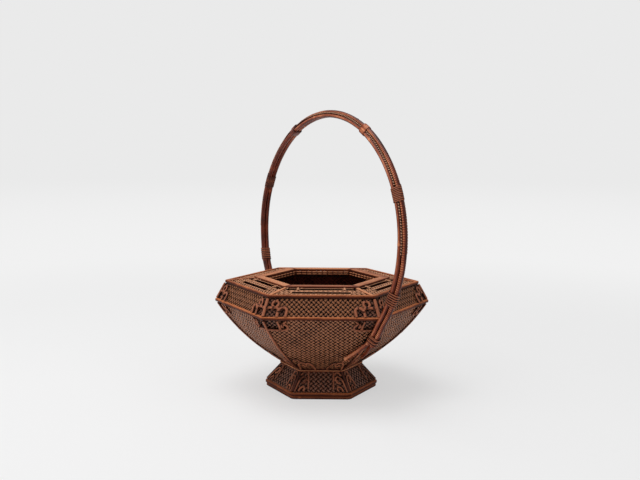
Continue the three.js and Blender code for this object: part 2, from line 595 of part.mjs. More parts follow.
function legLine() {
  const points = [];
  for (let degrees = 80; degrees >= 0; degrees -= 10) {
    points.push(new THREE.Vector2(handleHalfSpan * Math.cos(degToRad(degrees)), onHoop(degrees)));
  }
  const meets = bowlLine(1, LEG_STANDOFF);
  const inwards = handleHalfSpan - meets.x;
  const downwards = HANDLE_WIDEST_Z - meets.y;
  const radius = (inwards ** 2 + downwards ** 2) / (2 * inwards);
  const bend = Math.asin(downwards / radius);
  const steps = 6;
  for (let i = 1; i < steps; i++) {
    const angle = (bend * i) / steps;
    points.push(new THREE.Vector2(
      handleHalfSpan - radius * (1 - Math.cos(angle)),
      HANDLE_WIDEST_Z - radius * Math.sin(angle),
    ));
  }
  for (let i = 0; i <= 3; i++) {
    points.push(bowlLine(lerp(1, lashingEnd, i / 3), LEG_STANDOFF));
  }
  return points;
}

const rightLeg = legLine().map(({ x, y }) => new THREE.Vector3(x, 0, y));
const leftLeg = rightLeg.map(({ x, z }) => new THREE.Vector3(-x, 0, z));
const spine = new THREE.CatmullRomCurve3([...leftLeg.reverse(), new THREE.Vector3(0, 0, handleTopZ), ...rightLeg]);
spine.arcLengthDivisions = 800;

// The spine's frame at a share of its length: where it is, along it, and away from the hoop's inside
function spineFrame(share) {
  const middle = spine.getPointAt(share);
  const up = Math.max(0, (middle.z - HANDLE_LEAN.from) / (handleTopZ - HANDLE_LEAN.from));
  middle.y = HANDLE_LEAN.top * up * THREE.MathUtils.smoothstep(up, 0, 0.25);
  const along = spine.getTangentAt(share);
  const outwards = new THREE.Vector3(-along.z, 0, along.x);
  return { middle, along, outwards, sideways: new THREE.Vector3(0, 1, 0) };
}

// The share of the spine's length at a height, on the -X or the +X leg
function spineShareAt(z, side) {
  let low = 0.5;
  let high = side > 0 ? 1 : 0;
  for (let i = 0; i < 40; i++) {
    const middle = (low + high) / 2;
    if (spine.getPointAt(middle).z > z) low = middle;
    else high = middle;
  }
  return (low + high) / 2;
}

const spliceZ = onHoop(SPLICE.degreesUp);
const spliceShare = spineShareAt(spliceZ, -1);
const spineLength = spine.getLength();

// Rods are thinner between the splice bands than in the legs.
function rodRadius(share) {
  const inside = THREE.MathUtils.smoothstep((Math.min(share, 1 - share) - spliceShare) * spineLength, -2, 2);
  return lerp(ROD_RADIUS, ROD_TOP_RADIUS, inside);
}

// The three rods of the bundle, as circles round the spine: one outside and one on each side within
function bundle(share) {
  const radius = rodRadius(share);
  const spacing = (2 * radius + GAP) / Math.sqrt(3);
  return [0, 120, 240].map((degrees) => {
    const angle = degToRad(degrees);
    return { x: spacing * Math.cos(angle), y: spacing * Math.sin(angle), radius };
  });
}

// A point on a bowl panel beside a handle corner: at a height, a distance from the corner line and above the face
function onBowlPanel(z, away, above, side, face) {
  const place = bowlPlaceAt(z);
  const point = bowlLine(place);
  const slope = bowlLine(place + 0.01).sub(bowlLine(place - 0.01)).normalize();
  const sideways = new THREE.Vector3(-side * Math.sin(Math.PI / SIDES), face * Math.cos(Math.PI / SIDES), 0);
  const upwards = new THREE.Vector3(side * slope.x, 0, slope.y);
  const outwards = new THREE.Vector3().crossVectors(sideways, upwards).multiplyScalar(side * face).normalize();
  return new THREE.Vector3(side * point.x, 0, point.y)
    .addScaledVector(sideways, away)
    .addScaledVector(outwards, above);
}

// An inner rod's end leaves the bundle below the lashing and lies against the panel as a prong.
function prongPoints(side, face) {
  const { middle, outwards, sideways } = spineFrame(side > 0 ? 1 : 0);
  const rod = bundle(1)[1];
  const start = middle.clone().addScaledVector(outwards, rod.x).addScaledVector(sideways, face * rod.y);
  const tip = onBowlPanel(PRONG.tipZ, PRONG.spread, PRONG.tipRadius + GAP, side, face);
  const bend = onBowlPanel(lerp(start.z, PRONG.tipZ, 0.5), PRONG.spread / 2 + rod.y / 2, ROD_RADIUS + 1, side, face);
  const path = new THREE.CatmullRomCurve3([start, bend, tip]);
  return path.getPoints(4).slice(1);
}

function rod(index, face) {
  const sections = [];
  for (let i = 0; i <= ROD_STEPS; i++) {
    const share = i / ROD_STEPS;
    const { middle, outwards, sideways } = spineFrame(share);
    const circleAt = bundle(share)[index];
    const place = middle.clone().addScaledVector(outwards, circleAt.x).addScaledVector(sideways, circleAt.y);
    sections.push({ place, radius: circleAt.radius });
  }
  if (face) {
    const [left, right] = [-1, 1].map((side) => prongPoints(side, face).map((place, i, all) => {
      return { place, radius: lerp(ROD_RADIUS, PRONG.tipRadius, (i + 1) / all.length) };
    }));
    sections.unshift(...left.reverse());
    sections.push(...right);
  }
  const sideways = new THREE.Vector3(0, 1, 0);
  return cane(sections.map(({ place }) => place), () => sideways, (i) => sections[i].radius, ROD_SIDES);
}

add('handle_rod_outer', rod(0, 0), COLOUR.rod, 0.35);
add('handle_rod_back', rod(1, 1), COLOUR.rod, 0.35);
add('handle_rod_front', rod(2, -1), COLOUR.rod, 0.35);

// The taut line round a set of circles, at a clearance, where it faces a direction
function tautPoint(circles, angle, clearance) {
  const facing = new THREE.Vector2(Math.cos(angle), Math.sin(angle));
  const reach = (item) => item.x * facing.x + item.y * facing.y + item.radius;
  const touched = circles.reduce((best, item) => (reach(item) > reach(best) ? item : best));
  return new THREE.Vector2(touched.x, touched.y).addScaledVector(facing, touched.radius + clearance);
}

// Cane wound round the bundle, and round whatever else is listed in extra, as one unbroken tube
function winding(name, z, turns, side, extra = []) {
  const centre = spineShareAt(z, side);
  const clearance = (GAP + WINDING.radius) / Math.cos(Math.PI / WINDING.stepsPerTurn) + 0.2;
  const points = [];
  const across = [];
  for (let i = 0; i <= turns * WINDING.stepsPerTurn; i++) {
    const turn = (i + 0.5) / WINDING.stepsPerTurn;
    const share = centre + ((turn - turns / 2) * WINDING.pitch) / spineLength;
    const { middle, along, outwards, sideways } = spineFrame(share);
    const { x, y } = tautPoint([...bundle(share), ...extra], turn * 2 * Math.PI, clearance);
    points.push(middle.clone().addScaledVector(outwards, x).addScaledVector(sideways, y));
    across.push(along);
  }
  const end = points.length - 1;
  const run = 2 * WINDING.radius;
  points.push(points[end].clone().add(points[end].clone().sub(points[end - 1]).setLength(run)));
  points.unshift(points[0].clone().add(points[0].clone().sub(points[1]).setLength(run)));
  across.push(across[end]);
  across.unshift(across[0]);
  reportLeastGap(name, points);
  add(name, cane(points, (i) => across[i], () => WINDING.radius, WINDING.sides), COLOUR.cane, 0.5);
}

// Least distance between the surfaces of stretches of the tube that are at least half a turn apart
function reportLeastGap(name, points) {
  let least = Infinity;
  const apart = WINDING.stepsPerTurn / 2;
  const segment = new THREE.Line3();
  const nearest = new THREE.Vector3();
  for (let i = 0; i < points.length; i++) {
    for (let j = i + apart; j + 1 < points.length; j++) {
      segment.set(points[j], points[j + 1]).closestPointToPoint(points[i], true, nearest);
      least = Math.min(least, nearest.distanceTo(points[i]) - 2 * WINDING.radius);
    }
  }
  console.log(`${name}: least gap to itself ${least.toFixed(2)} mm`);
}

// A flat band round the bundle
function spliceBand(side) {
  const centre = spineShareAt(spliceZ, side);
  const tubeAt = (clearance, length) => loft([0.5, -0.5].map((end) => {
    const { middle, outwards, sideways } = spineFrame(centre + (end * length) / spineLength);
    const circles = bundle(1);
    const outline = Array.from({ length: WINDING.stepsPerTurn }, (_, i) =>
      tautPoint(circles, ((i + 0.5) * 2 * Math.PI) / WINDING.stepsPerTurn, clearance));
    return { middle, first: outwards, second: sideways, outline };
  }));
  const bore = (GAP + ROD_RADIUS) / Math.cos(Math.PI / WINDING.stepsPerTurn) - ROD_RADIUS + 0.1;
  return cut(tubeAt(bore + SPLICE.thickness, SPLICE.length), [tubeAt(bore, SPLICE.length + 2)]);
}

const midZ = onHoop(MID_WINDING.degreesUp);
const staveInBundle = { x: -LEG_STANDOFF, y: 0, radius: STAVE_RADIUS };
[-1, 1].forEach((side, i) => {
  add(`handle_splice_${i + 1}`, spliceBand(side), COLOUR.rod, 0.4);
  winding(`handle_wrap_mid_${i + 1}`, midZ, MID_WINDING.turns, side);
  const lowZ = lerp(HANDLE_WIDEST_Z, BELT_Z, LOW_WINDING.sharesDown[i]);
  winding(`handle_wrap_low_${i + 1}`, lowZ, LOW_WINDING.turns, side);
  winding(`handle_lashing_${i + 1}`, lashingZ, LASHING.turns, side, [staveInBundle]);
});

export default basket;
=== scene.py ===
"""A hexagonal flower basket of split and woven bamboo with one tall hoop handle.

Lengths are written in millimetres and turned into metres where a mesh is made. Corner k of the basket is at
60 k degrees about Z, and side k lies between corners k and k + 1. The handle is lashed at corners 0 and 3.
"""
from math import acos, asin, atan2, ceil, cos, hypot, inf, pi, radians, sin, sqrt, tan, tau

import bpy
import numpy as np
from mathutils import Matrix, Vector


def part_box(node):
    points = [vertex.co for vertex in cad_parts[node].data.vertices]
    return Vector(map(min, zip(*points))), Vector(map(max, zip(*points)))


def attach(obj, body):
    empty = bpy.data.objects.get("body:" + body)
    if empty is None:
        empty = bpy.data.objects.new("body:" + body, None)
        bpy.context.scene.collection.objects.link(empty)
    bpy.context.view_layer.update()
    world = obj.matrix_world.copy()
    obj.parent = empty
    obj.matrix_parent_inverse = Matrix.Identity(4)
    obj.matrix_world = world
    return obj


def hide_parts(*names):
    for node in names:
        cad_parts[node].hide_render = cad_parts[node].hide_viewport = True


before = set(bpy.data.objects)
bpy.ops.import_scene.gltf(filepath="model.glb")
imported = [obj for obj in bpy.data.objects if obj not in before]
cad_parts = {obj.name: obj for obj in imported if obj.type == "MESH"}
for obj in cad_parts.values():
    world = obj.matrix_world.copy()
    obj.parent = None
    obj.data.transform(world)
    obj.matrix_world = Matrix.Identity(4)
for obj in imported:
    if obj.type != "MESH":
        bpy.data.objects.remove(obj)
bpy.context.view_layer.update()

scene = bpy.context.scene
rng = np.random.default_rng(11)

# Shape of the basket

SIDES = range(6)
UP = np.array([0, 0, 1.0])
COS30, TAN30 = cos(pi / 6), tan(pi / 6)
# corner radius and z of the points of the outer line
FOOT, WAIST, BELT, RIM = np.array([[85.5, 9.7], [58.5, 39.0], [163.4, 135.5], [147.2, 164.4]])
DECK_OUTER, DECK_INNER = np.array([[143.9, 165.5], [104.85, 170.6]])
THROAT_RADIUS, THROAT_BOTTOM, THROAT_TOP, COLLAR_WALL = 90.4, 159.2, 168.7, 1.6
SWELL = 8.8  # how far the bowl's corner line bows out from its chord
OVERRUN = 12.0  # how far a wall's slope is carried on past its ends
SLOPE_STEP = 0.6  # half the length over which a wall's slope is measured

chord = BELT - WAIST
lean = atan2(chord[1], chord[0])
ARC_RADIUS = (chord @ chord) / (8 * SWELL) + SWELL / 2
ARC_HALF = asin(hypot(*chord) / 2 / ARC_RADIUS)
ARC_CENTRE = (WAIST + BELT) / 2 + (ARC_RADIUS - SWELL) * np.array([-sin(lean), cos(lean)])
ARC_START = lean - pi / 2 - ARC_HALF


def circle(angle):
    return np.stack([np.cos(angle), np.sin(angle)], axis=-1)


def bowl_line(place, outside=0.0):
    """Point (corner radius, z) of the bowl's corner line; place 0 at the waist, 1 at the belt."""
    return ARC_CENTRE + (ARC_RADIUS + outside) * circle(ARC_START + 2 * ARC_HALF * place)


def bowl_place_at(z, outside=0.0):
    return (asin((z - ARC_CENTRE[1]) / (ARC_RADIUS + outside)) - ARC_START) / (2 * ARC_HALF)


def unit(v):
    return v / np.linalg.norm(v, axis=-1, keepdims=True)


def clamp(values):
    return np.clip(values, 0, 1)


def distances(path):
    """The length along a path up to each of its points."""
    return np.concatenate([[0], np.cumsum(np.linalg.norm(np.diff(path, axis=0), axis=1))])


def interpolate(at, places, points):
    """Points of a path at some distances along it."""
    return np.stack([np.interp(at, places, column) for column in points.T], axis=-1)


def level_axes(degrees):
    """Level directions: outwards at an angle about Z, and to the left of that."""
    c, s = cos(radians(degrees)), sin(radians(degrees))
    return np.array([c, s, 0]), np.array([-s, c, 0])


def corner_point(k, radius, z):
    """A point over corner k; k + 0.5 is the middle of side k."""
    radius, z = np.broadcast_arrays(radius, z)
    return level_axes(60 * k)[0] * radius[..., None] + UP * z[..., None]


class Section:
    """A hexagonal wall. On each side: s along the side from its middle, h up its slope, w outwards."""

    def __init__(self, line):
        line = np.asarray(line, float)
        below = line[0] - OVERRUN * unit(line[1] - line[0])
        above = line[-1] + OVERRUN * unit(line[-1] - line[-2])
        self.line = np.vstack([below, line, above])
        steps = np.hypot(np.diff(self.line[:, 0]) * COS30, np.diff(self.line[:, 1]))
        self.h = np.concatenate([[0], np.cumsum(steps)]) - steps[0]
        self.length = self.h[-2]

    def corner(self, h):
        """Corner radius and z at a height h."""
        return tuple(np.interp(h, self.h, column) for column in self.line.T)

    def h_at(self, z):
        return np.interp(z, self.line[:, 1], self.h)

    def half(self, h):
        """Half a side's width."""
        return self.corner(h)[0] / 2

    def away(self, s, h):
        """Distance from the nearer corner, along the side."""
        return self.half(h) - np.abs(s)

    def frame(self, k, h):
        """Directions along the side, up the slope and outwards at a height h of side k."""
        r0, z0 = self.corner(h - SLOPE_STEP)
        r1, z1 = self.corner(h + SLOPE_STEP)
        slope = unit(np.stack([(r1 - r0) * COS30, z1 - z0], axis=-1))
        out, up = slope[..., :1], slope[..., 1:]
        level, along = level_axes(60 * k + 30)
        return np.broadcast_to(along, np.shape(h) + (3,)), level * out + UP * up, level * up - UP * out

    def place(self, k, s, h, w=0.0):
        s, h, w = np.broadcast_arrays(s, h, w)
        r, z = self.corner(h)
        along, _, outwards = self.frame(k, h)
        middle = corner_point(k + 0.5, r * COS30, z)
        return middle + along * s[..., None] + outwards * w[..., None]

    def beside(self, corner, side, away, h, w=0.0):
        """A place beside a corner, on the side towards corner + side, and the direction outwards."""
        away, h = np.broadcast_arrays(away, h)
        k = corner if side > 0 else corner - 1
        return self.place(k, side * (away - self.half(h)), h, w), self.frame(k, h)[2]


foot = Section([FOOT, WAIST])
bowl = Section(bowl_line(np.linspace(0, 1, 60)))
band = Section([BELT, RIM])
deck = Section([DECK_OUTER, DECK_INNER])
collar_radius = THROAT_RADIUS + COLLAR_WALL / COS30
collar = Section([[collar_radius, THROAT_BOTTOM], [collar_radius, THROAT_TOP]])

# Meshes

SHARP_ANGLE = radians(50)
MILLIMETRE = 0.001
FIBRE_RUN = 900  # canes start at a random place along this much bamboo


def fibre_start(count=None):
    return rng.random(count) * FIBRE_RUN


def round_angles(sides):
    """The angles of the points round a cane."""
    return tau * (np.arange(sides) + 0.5) / sides


def set_round(path, first, second, outline):
    """An outline's points, x along first and y along second, at each point of a path."""
    return path[:, None] + first[:, None] * outline[..., :1] + second[:, None] * outline[..., 1:]


def add_object(name, data):
    made = bpy.data.objects.new(name, data)
    scene.collection.objects.link(made)
    return made


class Piece:
    """Collects closed tubes and makes one object of them. Its points carry fibre (along, across and up
    in their own cane, in mm), tone (one value per cane) and a lightness (0 in hollows, 1 on crests) that
    holds rubbed crests together with painted shade in hollows and painted highlights on lit faces."""

    def __init__(self):
        self.points, self.fibre, self.tone, self.wear_and_shading = [], [], [], []
        self.quads, self.caps = [], []
        self.count = 0

    def rings(self, rings, across, along, wear_and_shading, tone=None, closed=False, starts=(0,)):
        """rings is (n, m, 3): n sections of m points. starts marks where each tube begins."""
        n, m = rings.shape[:2]
        starts = np.asarray(starts)
        ends = np.append(starts[1:], n) - 1
        base = self.count
        self.count += n * m
        self.points.append(rings.reshape(-1, 3))
        along = np.broadcast_to(np.asarray(along, float)[:, None, None], (n, m, 1))
        self.fibre.append(np.concatenate([along, np.broadcast_to(across, (n, m, 2))], axis=2).reshape(-1, 3))
        self.wear_and_shading.append(np.broadcast_to(wear_and_shading, (n, m)).ravel())
        tone = rng.random(len(starts)) if tone is None else np.broadcast_to(tone, len(starts))
        self.tone.append(np.repeat(tone, (ends - starts + 1) * m))
        i = np.arange(n)
        following = i + 1
        if closed:
            following[ends] = starts
        else:
            i, following = np.delete(i, ends), np.delete(following, ends)
        i, following = base + m * i[:, None], base + m * following[:, None]
        j = np.arange(m)
        after = (j + 1) % m
        quads = np.stack([i + j, i + after, following + after, following + j], axis=-1)
        self.quads.append(quads.reshape(-1, 4))
        if not closed:
            self.caps.append(base + starts[:, None] * m + j[::-1])
            self.caps.append(base + ends[:, None] * m + j)

    def tube(self, path, up, radius=None, sides=8, closed=False, flat=1.0, tone=None, wear_and_shading=None,
             outline=None):
        """A cane through a path. up is a direction (or one for each point) that its second axis turns to."""
        if closed:
            along = unit(np.roll(path, -1, axis=0) - np.roll(path, 1, axis=0))
        else:
            along = unit(np.gradient(path, axis=0))
        first = unit(np.cross(up, along))
        second = np.cross(along, first)
        if outline is None:
            radius = np.broadcast_to(radius, len(path))
            outline = circle(round_angles(sides)) * [1, flat] * radius[:, None, None]
        # by default the side that up points to is lighter and the other side darker, as painted light and
        # shade
        if wear_and_shading is None:
            height = outline[..., 1]
            wear_and_shading = clamp(0.45 + 0.6 * height / np.abs(height).max())
        rings = set_round(path, first, second, outline)
        self.rings(rings, outline, distances(path) + fibre_start(), wear_and_shading, tone, closed)

    def finish(self, name, slot, material, *replaced):
        """Makes the object, puts it under the root body and hides the solids that it stands for."""
        points = np.concatenate(self.points) * MILLIMETRE
        faces = [np.concatenate(self.quads), *self.caps]
        loops = np.concatenate([face.ravel() for face in faces])
        sizes = np.concatenate([np.full(len(face), face.shape[1]) for face in faces])
        mesh = bpy.data.meshes.new(name)
        mesh.vertices.add(len(points))
        mesh.vertices.foreach_set("co", points.astype(np.float32).ravel())
        mesh.loops.add(len(loops))
        mesh.loops.foreach_set("vertex_index", loops.astype(np.int32))
        mesh.polygons.add(len(sizes))
        mesh.polygons.foreach_set("loop_start", (np.cumsum(sizes) - sizes).astype(np.int32))
        mesh.update(calc_edges=True)
        for key, kind, field in (("fibre", "FLOAT_VECTOR", "vector"), ("tone", "FLOAT", "value"),
                                 ("wear_and_shading", "FLOAT", "value")):
            values = np.concatenate(getattr(self, key)).astype(np.float32).ravel()
            mesh.attributes.new(key, kind, "POINT").data.foreach_set(field, values)
        mesh.polygons.foreach_set("use_smooth", np.ones(len(sizes), bool))
        mesh.set_sharp_from_angle(angle=SHARP_ANGLE)
        mesh.validate()
        mesh.materials.append(material)
        made = add_object(name, mesh)
        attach(made, "root")
        if replaced:
            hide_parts(*replaced)


def spline(points, count=8):
    """A smooth line through points, with count steps from one to the next."""
    p = np.asarray(points, float)
    p = np.vstack([2 * p[0] - p[1], p, 2 * p[-1] - p[-2]])
    t = np.linspace(0, 1, count, endpoint=False)[:, None]
    a, b, c, d = (p[i:len(p) - 3 + i, None] for i in range(4))
    line = b + ((c - a) * t + (2 * a - 5 * b + 4 * c - d) * t ** 2 + (3 * b - a - 3 * c + d) * t ** 3) / 2
    return np.vstack([line.reshape(-1, p.shape[1]), p[-2]])


def wander(n, size, scale):
    """A slow random drift of n values."""
    knots = rng.normal(0, size, max(4, int(n / scale) + 3))
    return np.interp(np.linspace(0, len(knots) - 1, n), np.arange(len(knots)), knots)


# Materials

def linear(rgb):
    return [((c / 255 + 0.055) / 1.055) ** 2.4 if c > 10 else c / 255 / 12.92 for c in rgb] + [1.0]


def fill(made, inputs):
    """Sets a node's inputs, or links them to other nodes' outputs."""
    for key, value in inputs.items():
        if isinstance(value, bpy.types.NodeSocket):
            made.id_data.links.new(value, made.inputs[key])
        else:
            made.inputs[key].default_value = value


def node(tree, kind, inputs=None, output=0, **settings):
    """Makes a shader node and returns one of its outputs."""
    made = tree.nodes.new("ShaderNode" + kind)
    for key, value in settings.items():
        setattr(made, key, value)
    fill(made, inputs or {})
    return made.outputs[output]


def maths(tree, operation, *values):
    return node(tree, "Math", dict(enumerate(values)), operation=operation)


def noise(tree, where, scale, detail, roughness=0.5):
    inputs = {"Vector": where, "Scale": scale, "Detail": detail, "Roughness": roughness}
    return node(tree, "TexNoise", inputs)


def remap(tree, value, start, end, low, high, **settings):
    """Turns start to end into low to high."""
    inputs = {"Value": value, "From Min": start, "From Max": end, "To Min": low, "To Max": high}
    return node(tree, "MapRange", inputs, **settings)


def new_material(name):
    material = bpy.data.materials.new(name)
    material.use_nodes = True
    return material, material.node_tree, material.node_tree.nodes["Principled BSDF"]


def bamboo(name, dark, middle, light, streak=0.3, tone=0.2, wear_and_shading=0.95, patina=0.35, gloss=(0.34, 0.6),
           coat=0.12, coat_rough=0.3, spec=0.2, bump=0.35, grain=(0.045, 2.4, 2.4)):
    """Lacquered bamboo: long fibres, darker in hollows as painted shade, lighter on rubbed crests and lit
    faces as painted highlights, with patches of patina. streak, tone, the lightness of crests and hollows,
    and patina are their shares in the choice between dark and light."""
    material, tree, shader = new_material(name)
    fibre, tone_at, wear_and_shading_at = (node(tree, "Attribute", output=output, attribute_name=key)
                               for key, output in (("fibre", "Vector"), ("tone", "Fac"), ("wear_and_shading", "Fac")))
    place = node(tree, "TexCoord", output="Object")
    stretched = node(tree, "VectorMath", {0: fibre, 1: grain}, operation="MULTIPLY")
    streaks = noise(tree, stretched, 1.0, 5.0, 0.62)
    patches = noise(tree, place, 34.0, 3.0)
    specks = noise(tree, place, 900.0, 2.0)
    pick = maths(tree, "MULTIPLY_ADD", streaks, streak * 2, 0.5 - streak)
    for value, share in ((tone_at, tone), (wear_and_shading_at, wear_and_shading), (patches, patina)):
        pick = maths(tree, "MULTIPLY_ADD", maths(tree, "SUBTRACT", value, 0.5), share, pick)
    ramp = node(tree, "ValToRGB", {"Fac": pick})
    stops = ramp.node.color_ramp.elements
    stops[0].position, stops[0].color = 0.12, linear(dark)
    stops[1].position, stops[1].color = 0.88, linear(light)
    stops.new(0.5).color = linear(middle)
    rough = remap(tree, maths(tree, "MULTIPLY_ADD", specks, 0.25, streaks), 0.3, 0.85, *gloss)
    height = maths(tree, "MULTIPLY_ADD", specks, 0.35, streaks)
    bumps = node(tree, "Bump", {"Height": height, "Strength": bump, "Distance": 0.0004})
    fill(shader, {"Base Color": ramp, "Roughness": rough, "Normal": bumps, "Coat Weight": coat,
                  "Coat Roughness": coat_rough, "Specular IOR Level": spec})
    return material


HOOP_LOOKS = dict(streak=0.45, wear_and_shading=0.9, gloss=(0.42, 0.68), coat=0.03, spec=0.12)
WEAVE = bamboo("woven_strips", (20, 7, 4), (73, 37, 22), (164, 106, 74), tone=0.18)
# darker than the bowl's strips, as painted shade on the foot under the bowl and on the lattice set back in
# the compartments
WEAVE_DARK = bamboo("foot_strips", (18, 6, 4), (55, 28, 19), (128, 83, 64))
BAND_WEAVE = bamboo("band_strips", (18, 7, 4), (64, 33, 19), (148, 93, 60), tone=0.18)
DECK_WEAVE = bamboo("deck_strips", (18, 8, 5), (95, 53, 33), (196, 136, 98))
RING = bamboo("ring_bamboo", (52, 19, 9), (106, 48, 25), (192, 114, 70), **HOOP_LOOKS)
# darker than the upper hoops, as painted shade under the bowl
FOOT_RING = bamboo("foot_bamboo", (36, 11, 6), (78, 32, 17), (160, 89, 52), **HOOP_LOOKS)
MOUTH_RING = bamboo("mouth_bamboo", (72, 28, 14), (132, 66, 38), (206, 138, 98), streak=0.45, tone=0.3,
                    wear_and_shading=0.8, gloss=(0.4, 0.66), coat=0.03, spec=0.14)
SCROLL = bamboo("scroll_cane", (20, 7, 4), (66, 29, 18), (160, 96, 68), tone=0.3, coat=0.04, spec=0.15)
FINE = bamboo("fine_cane", (16, 5, 4), (80, 31, 19), (166, 94, 62), tone=0.3, wear_and_shading=1.0, coat=0.06)
ROD = bamboo("handle_bamboo", (54, 15, 8), (130, 54, 28), (224, 146, 102), streak=0.5, patina=0.7,
             gloss=(0.24, 0.46), coat=0.06, coat_rough=0.12, spec=0.22, bump=0.3, grain=(0.012, 1.1, 1.1))
CORD = bamboo("groove_cord", (30, 11, 6), (70, 32, 20), (200, 150, 118), streak=0.15, tone=0.1,
              wear_and_shading=1.2, coat=0)
# near-black, as painted shade for the inside of the basket seen through the weave, the mouth and the corners
LINING = bamboo("lining_strips", (18, 6, 4), (46, 19, 15), (112, 56, 42), tone=0.4, wear_and_shading=0.7,
                coat=0, spec=0.1)

# Plaiting

ROOT2 = sqrt(2)
STRIP_SHAPE = np.array([[-0.5, -0.5], [0.5, -0.5], [0.46, 0.22], [0.0, 0.5], [-0.46, 0.22]])
# how much of the lightness each point of a strip's section takes, seen from outside or inside: the face
# that is seen is lighter and the face behind it darker, as painted light and shade
OUTER_SHADING, INNER_SHADING = np.array([[0.2, 0.2, 0.8, 1.0, 0.8], [1.0, 1.0, 0.1, 0.0, 0.1]])


def weave(piece, section, k, inside, pitch=4.84, width=2.9, thick=0.6, depth=-1.15, lift=0.56,
          inner_side=False):
    """Plain weave at 45 degrees, of flat closed strips, where inside(s, h) is true on side k."""
    reach = (max(section.half(0.0), section.half(section.length)) + 2 + section.length) / ROOT2
    furthest = ceil(reach / pitch) + 1
    numbers = np.arange(-furthest, furthest + 1)
    stations = ((numbers[:, None] + [-0.3, 0.3]) * pitch).ravel()
    crossings = numbers[:, None] + np.repeat(numbers, 2)
    profile = STRIP_SHAPE * [width, thick]
    for sign in (1, -1):
        lines = (numbers * pitch + rng.normal(0, 0.13, len(numbers)))[:, None]
        s, h = sign * (stations - lines) / ROOT2, (stations + lines) / ROOT2
        grid = np.stack([s, h, sign * lift * np.where(crossings % 2 == 0, 1, -1)])
        change = np.diff(np.pad(inside(s, h), ((0, 0), (1, 1))).astype(int), axis=1)
        rows, first = np.nonzero(change == 1)
        last = np.nonzero(change == -1)[1] - 1
        keep = (last - first >= 2) & (first > 0) & (last < len(stations) - 1)
        rows, first, last = rows[keep], first[keep], last[keep]

        def edge(inner, outer):
            """The place between an inside and an outside station where the mask ends."""
            a, b = grid[:, rows, inner], grid[:, rows, outer]
            low, high = np.zeros(len(rows)), np.ones(len(rows))
            for _ in range(7):
                middle = (low + high) / 2
                good = inside(*(a + (b - a) * middle)[:2])
                low, high = np.where(good, middle, low), np.where(good, high, middle)
            return a + (b - a) * low

        start, end = edge(first, first - 1), edge(last, last + 1)
        strips = [np.column_stack([start[:, i], grid[:, row, first[i]:last[i] + 1], end[:, i]])
                  for i, row in enumerate(rows)]
        counts = np.array([strip.shape[1] for strip in strips])
        s, h, wave = np.concatenate(strips, axis=1)
        middle = section.place(k, s, h, depth + wave + rng.normal(0, 0.03, len(wave)))
        along, up, outwards = section.frame(k, h)
        sideways = np.cross(outwards, unit(along * sign + up))
        size = np.repeat(1 + rng.normal(0, 0.05, len(strips)), counts)
        outline = profile * np.stack([size, np.ones_like(size)], axis=-1)[:, None]
        # strips are lighter where they cross over and darker where they dip under: rubbed crests with
        # painted highlights, painted shade in the dips
        if inner_side:
            worn_and_lit = clamp(0.5 - 0.5 * wave / lift)[:, None] * INNER_SHADING
        else:
            worn_and_lit = (0.16 + 0.84 * clamp(0.5 + 0.5 * wave / lift)[:, None] ** 1.4) * OUTER_SHADING
        length = (s * sign + h) / ROOT2 + np.repeat(fibre_start(len(strips)), counts)
        rings = set_round(middle, sideways, outwards, outline)
        piece.rings(rings, outline, length, worn_and_lit, starts=np.cumsum(counts) - counts)


# Places of the openings, along the side from its corner and down from the belt's middle
STEM = 19.3
SILL_DOWN, SILL_END = 20.0, 31.0
ARCH_RADIUS, ARCH_SPRING = 6.0, 9.6
LASHING_Z, LASHING_HALF, NOTCH = 105.5, 9.3, 5.6
LASHING_DOWN = bowl.length - bowl.h_at(LASHING_Z)
HANDLE_END = {0: -1, 3: -1, 2: 1, 5: 1}  # the sides that meet the handle, and the sign of s at its corner
# The middles of the deck's two rows of slots, and half a slot's width
OUTER_SLOT, INNER_SLOT = 0.35 * deck.length, 0.8 * deck.length
SLOT_HALF = 3.9
# The linings lie inside the panels and show in the corner compartments
LINING_GAP, LINING_BOTTOM, LINING_TOP = 3.3, 42.7, 135.4


def within(section, corner, low, high, reach=inf):
    """A mask with these margins at a side's corners, lower and upper edge, within reach of a corner."""
    def inside(s, h):
        away = section.away(s, h)
        return (away > corner) & (away < reach) & (h > low) & (h < section.length - high)
    return inside


def at_handle(section, k, s, h):
    """Whether a place lies as near to the handle's corner as the notch for its lashing."""
    return (k in HANDLE_END) & (section.half(h) - HANDLE_END.get(k, 0) * s < NOTCH)


def bowl_inside(k):
    def inside(s, h):
        q, down = bowl.away(s, h), bowl.length - h
        corner_window = (q < STEM - 0.9) & (down < SILL_DOWN - 0.7)
        arched = (q > STEM - 1) & (q < SILL_END - 2) & (down < SILL_DOWN - 0.8)
        arched &= (down > 7.5 - 0.25 * (q - STEM))
        notch = at_handle(bowl, k, s, h) & (np.abs(down - LASHING_DOWN) < LASHING_HALF + 1.4)
        return within(bowl, 0.9, 1.0, 3.3)(s, h) & ~(corner_window | arched | notch)
    return inside


def band_inside(s, h):
    across = np.abs(band.away(s, h) - STEM - ARCH_RADIUS)
    size = ARCH_RADIUS - 0.7
    in_arch = (across < size) & ((h < ARCH_SPRING) | (np.hypot(across, h - ARCH_SPRING) < size))
    return within(band, 17.9, 2.6, 2.6)(s, h) & ~in_arch


def deck_inside(s, h):
    outer, inner = (np.abs(h - middle) < SLOT_HALF for middle in (OUTER_SLOT, INNER_SLOT))
    end_slots = (np.abs(s) > 35.5) & (deck.away(s, h) > 7.5)
    slots = (outer & (np.abs(s) < 41.8)) | (inner & ((np.abs(s) < 31.4) | end_slots))
    return within(deck, 1.8, 0, 0)(s, h) & ~slots


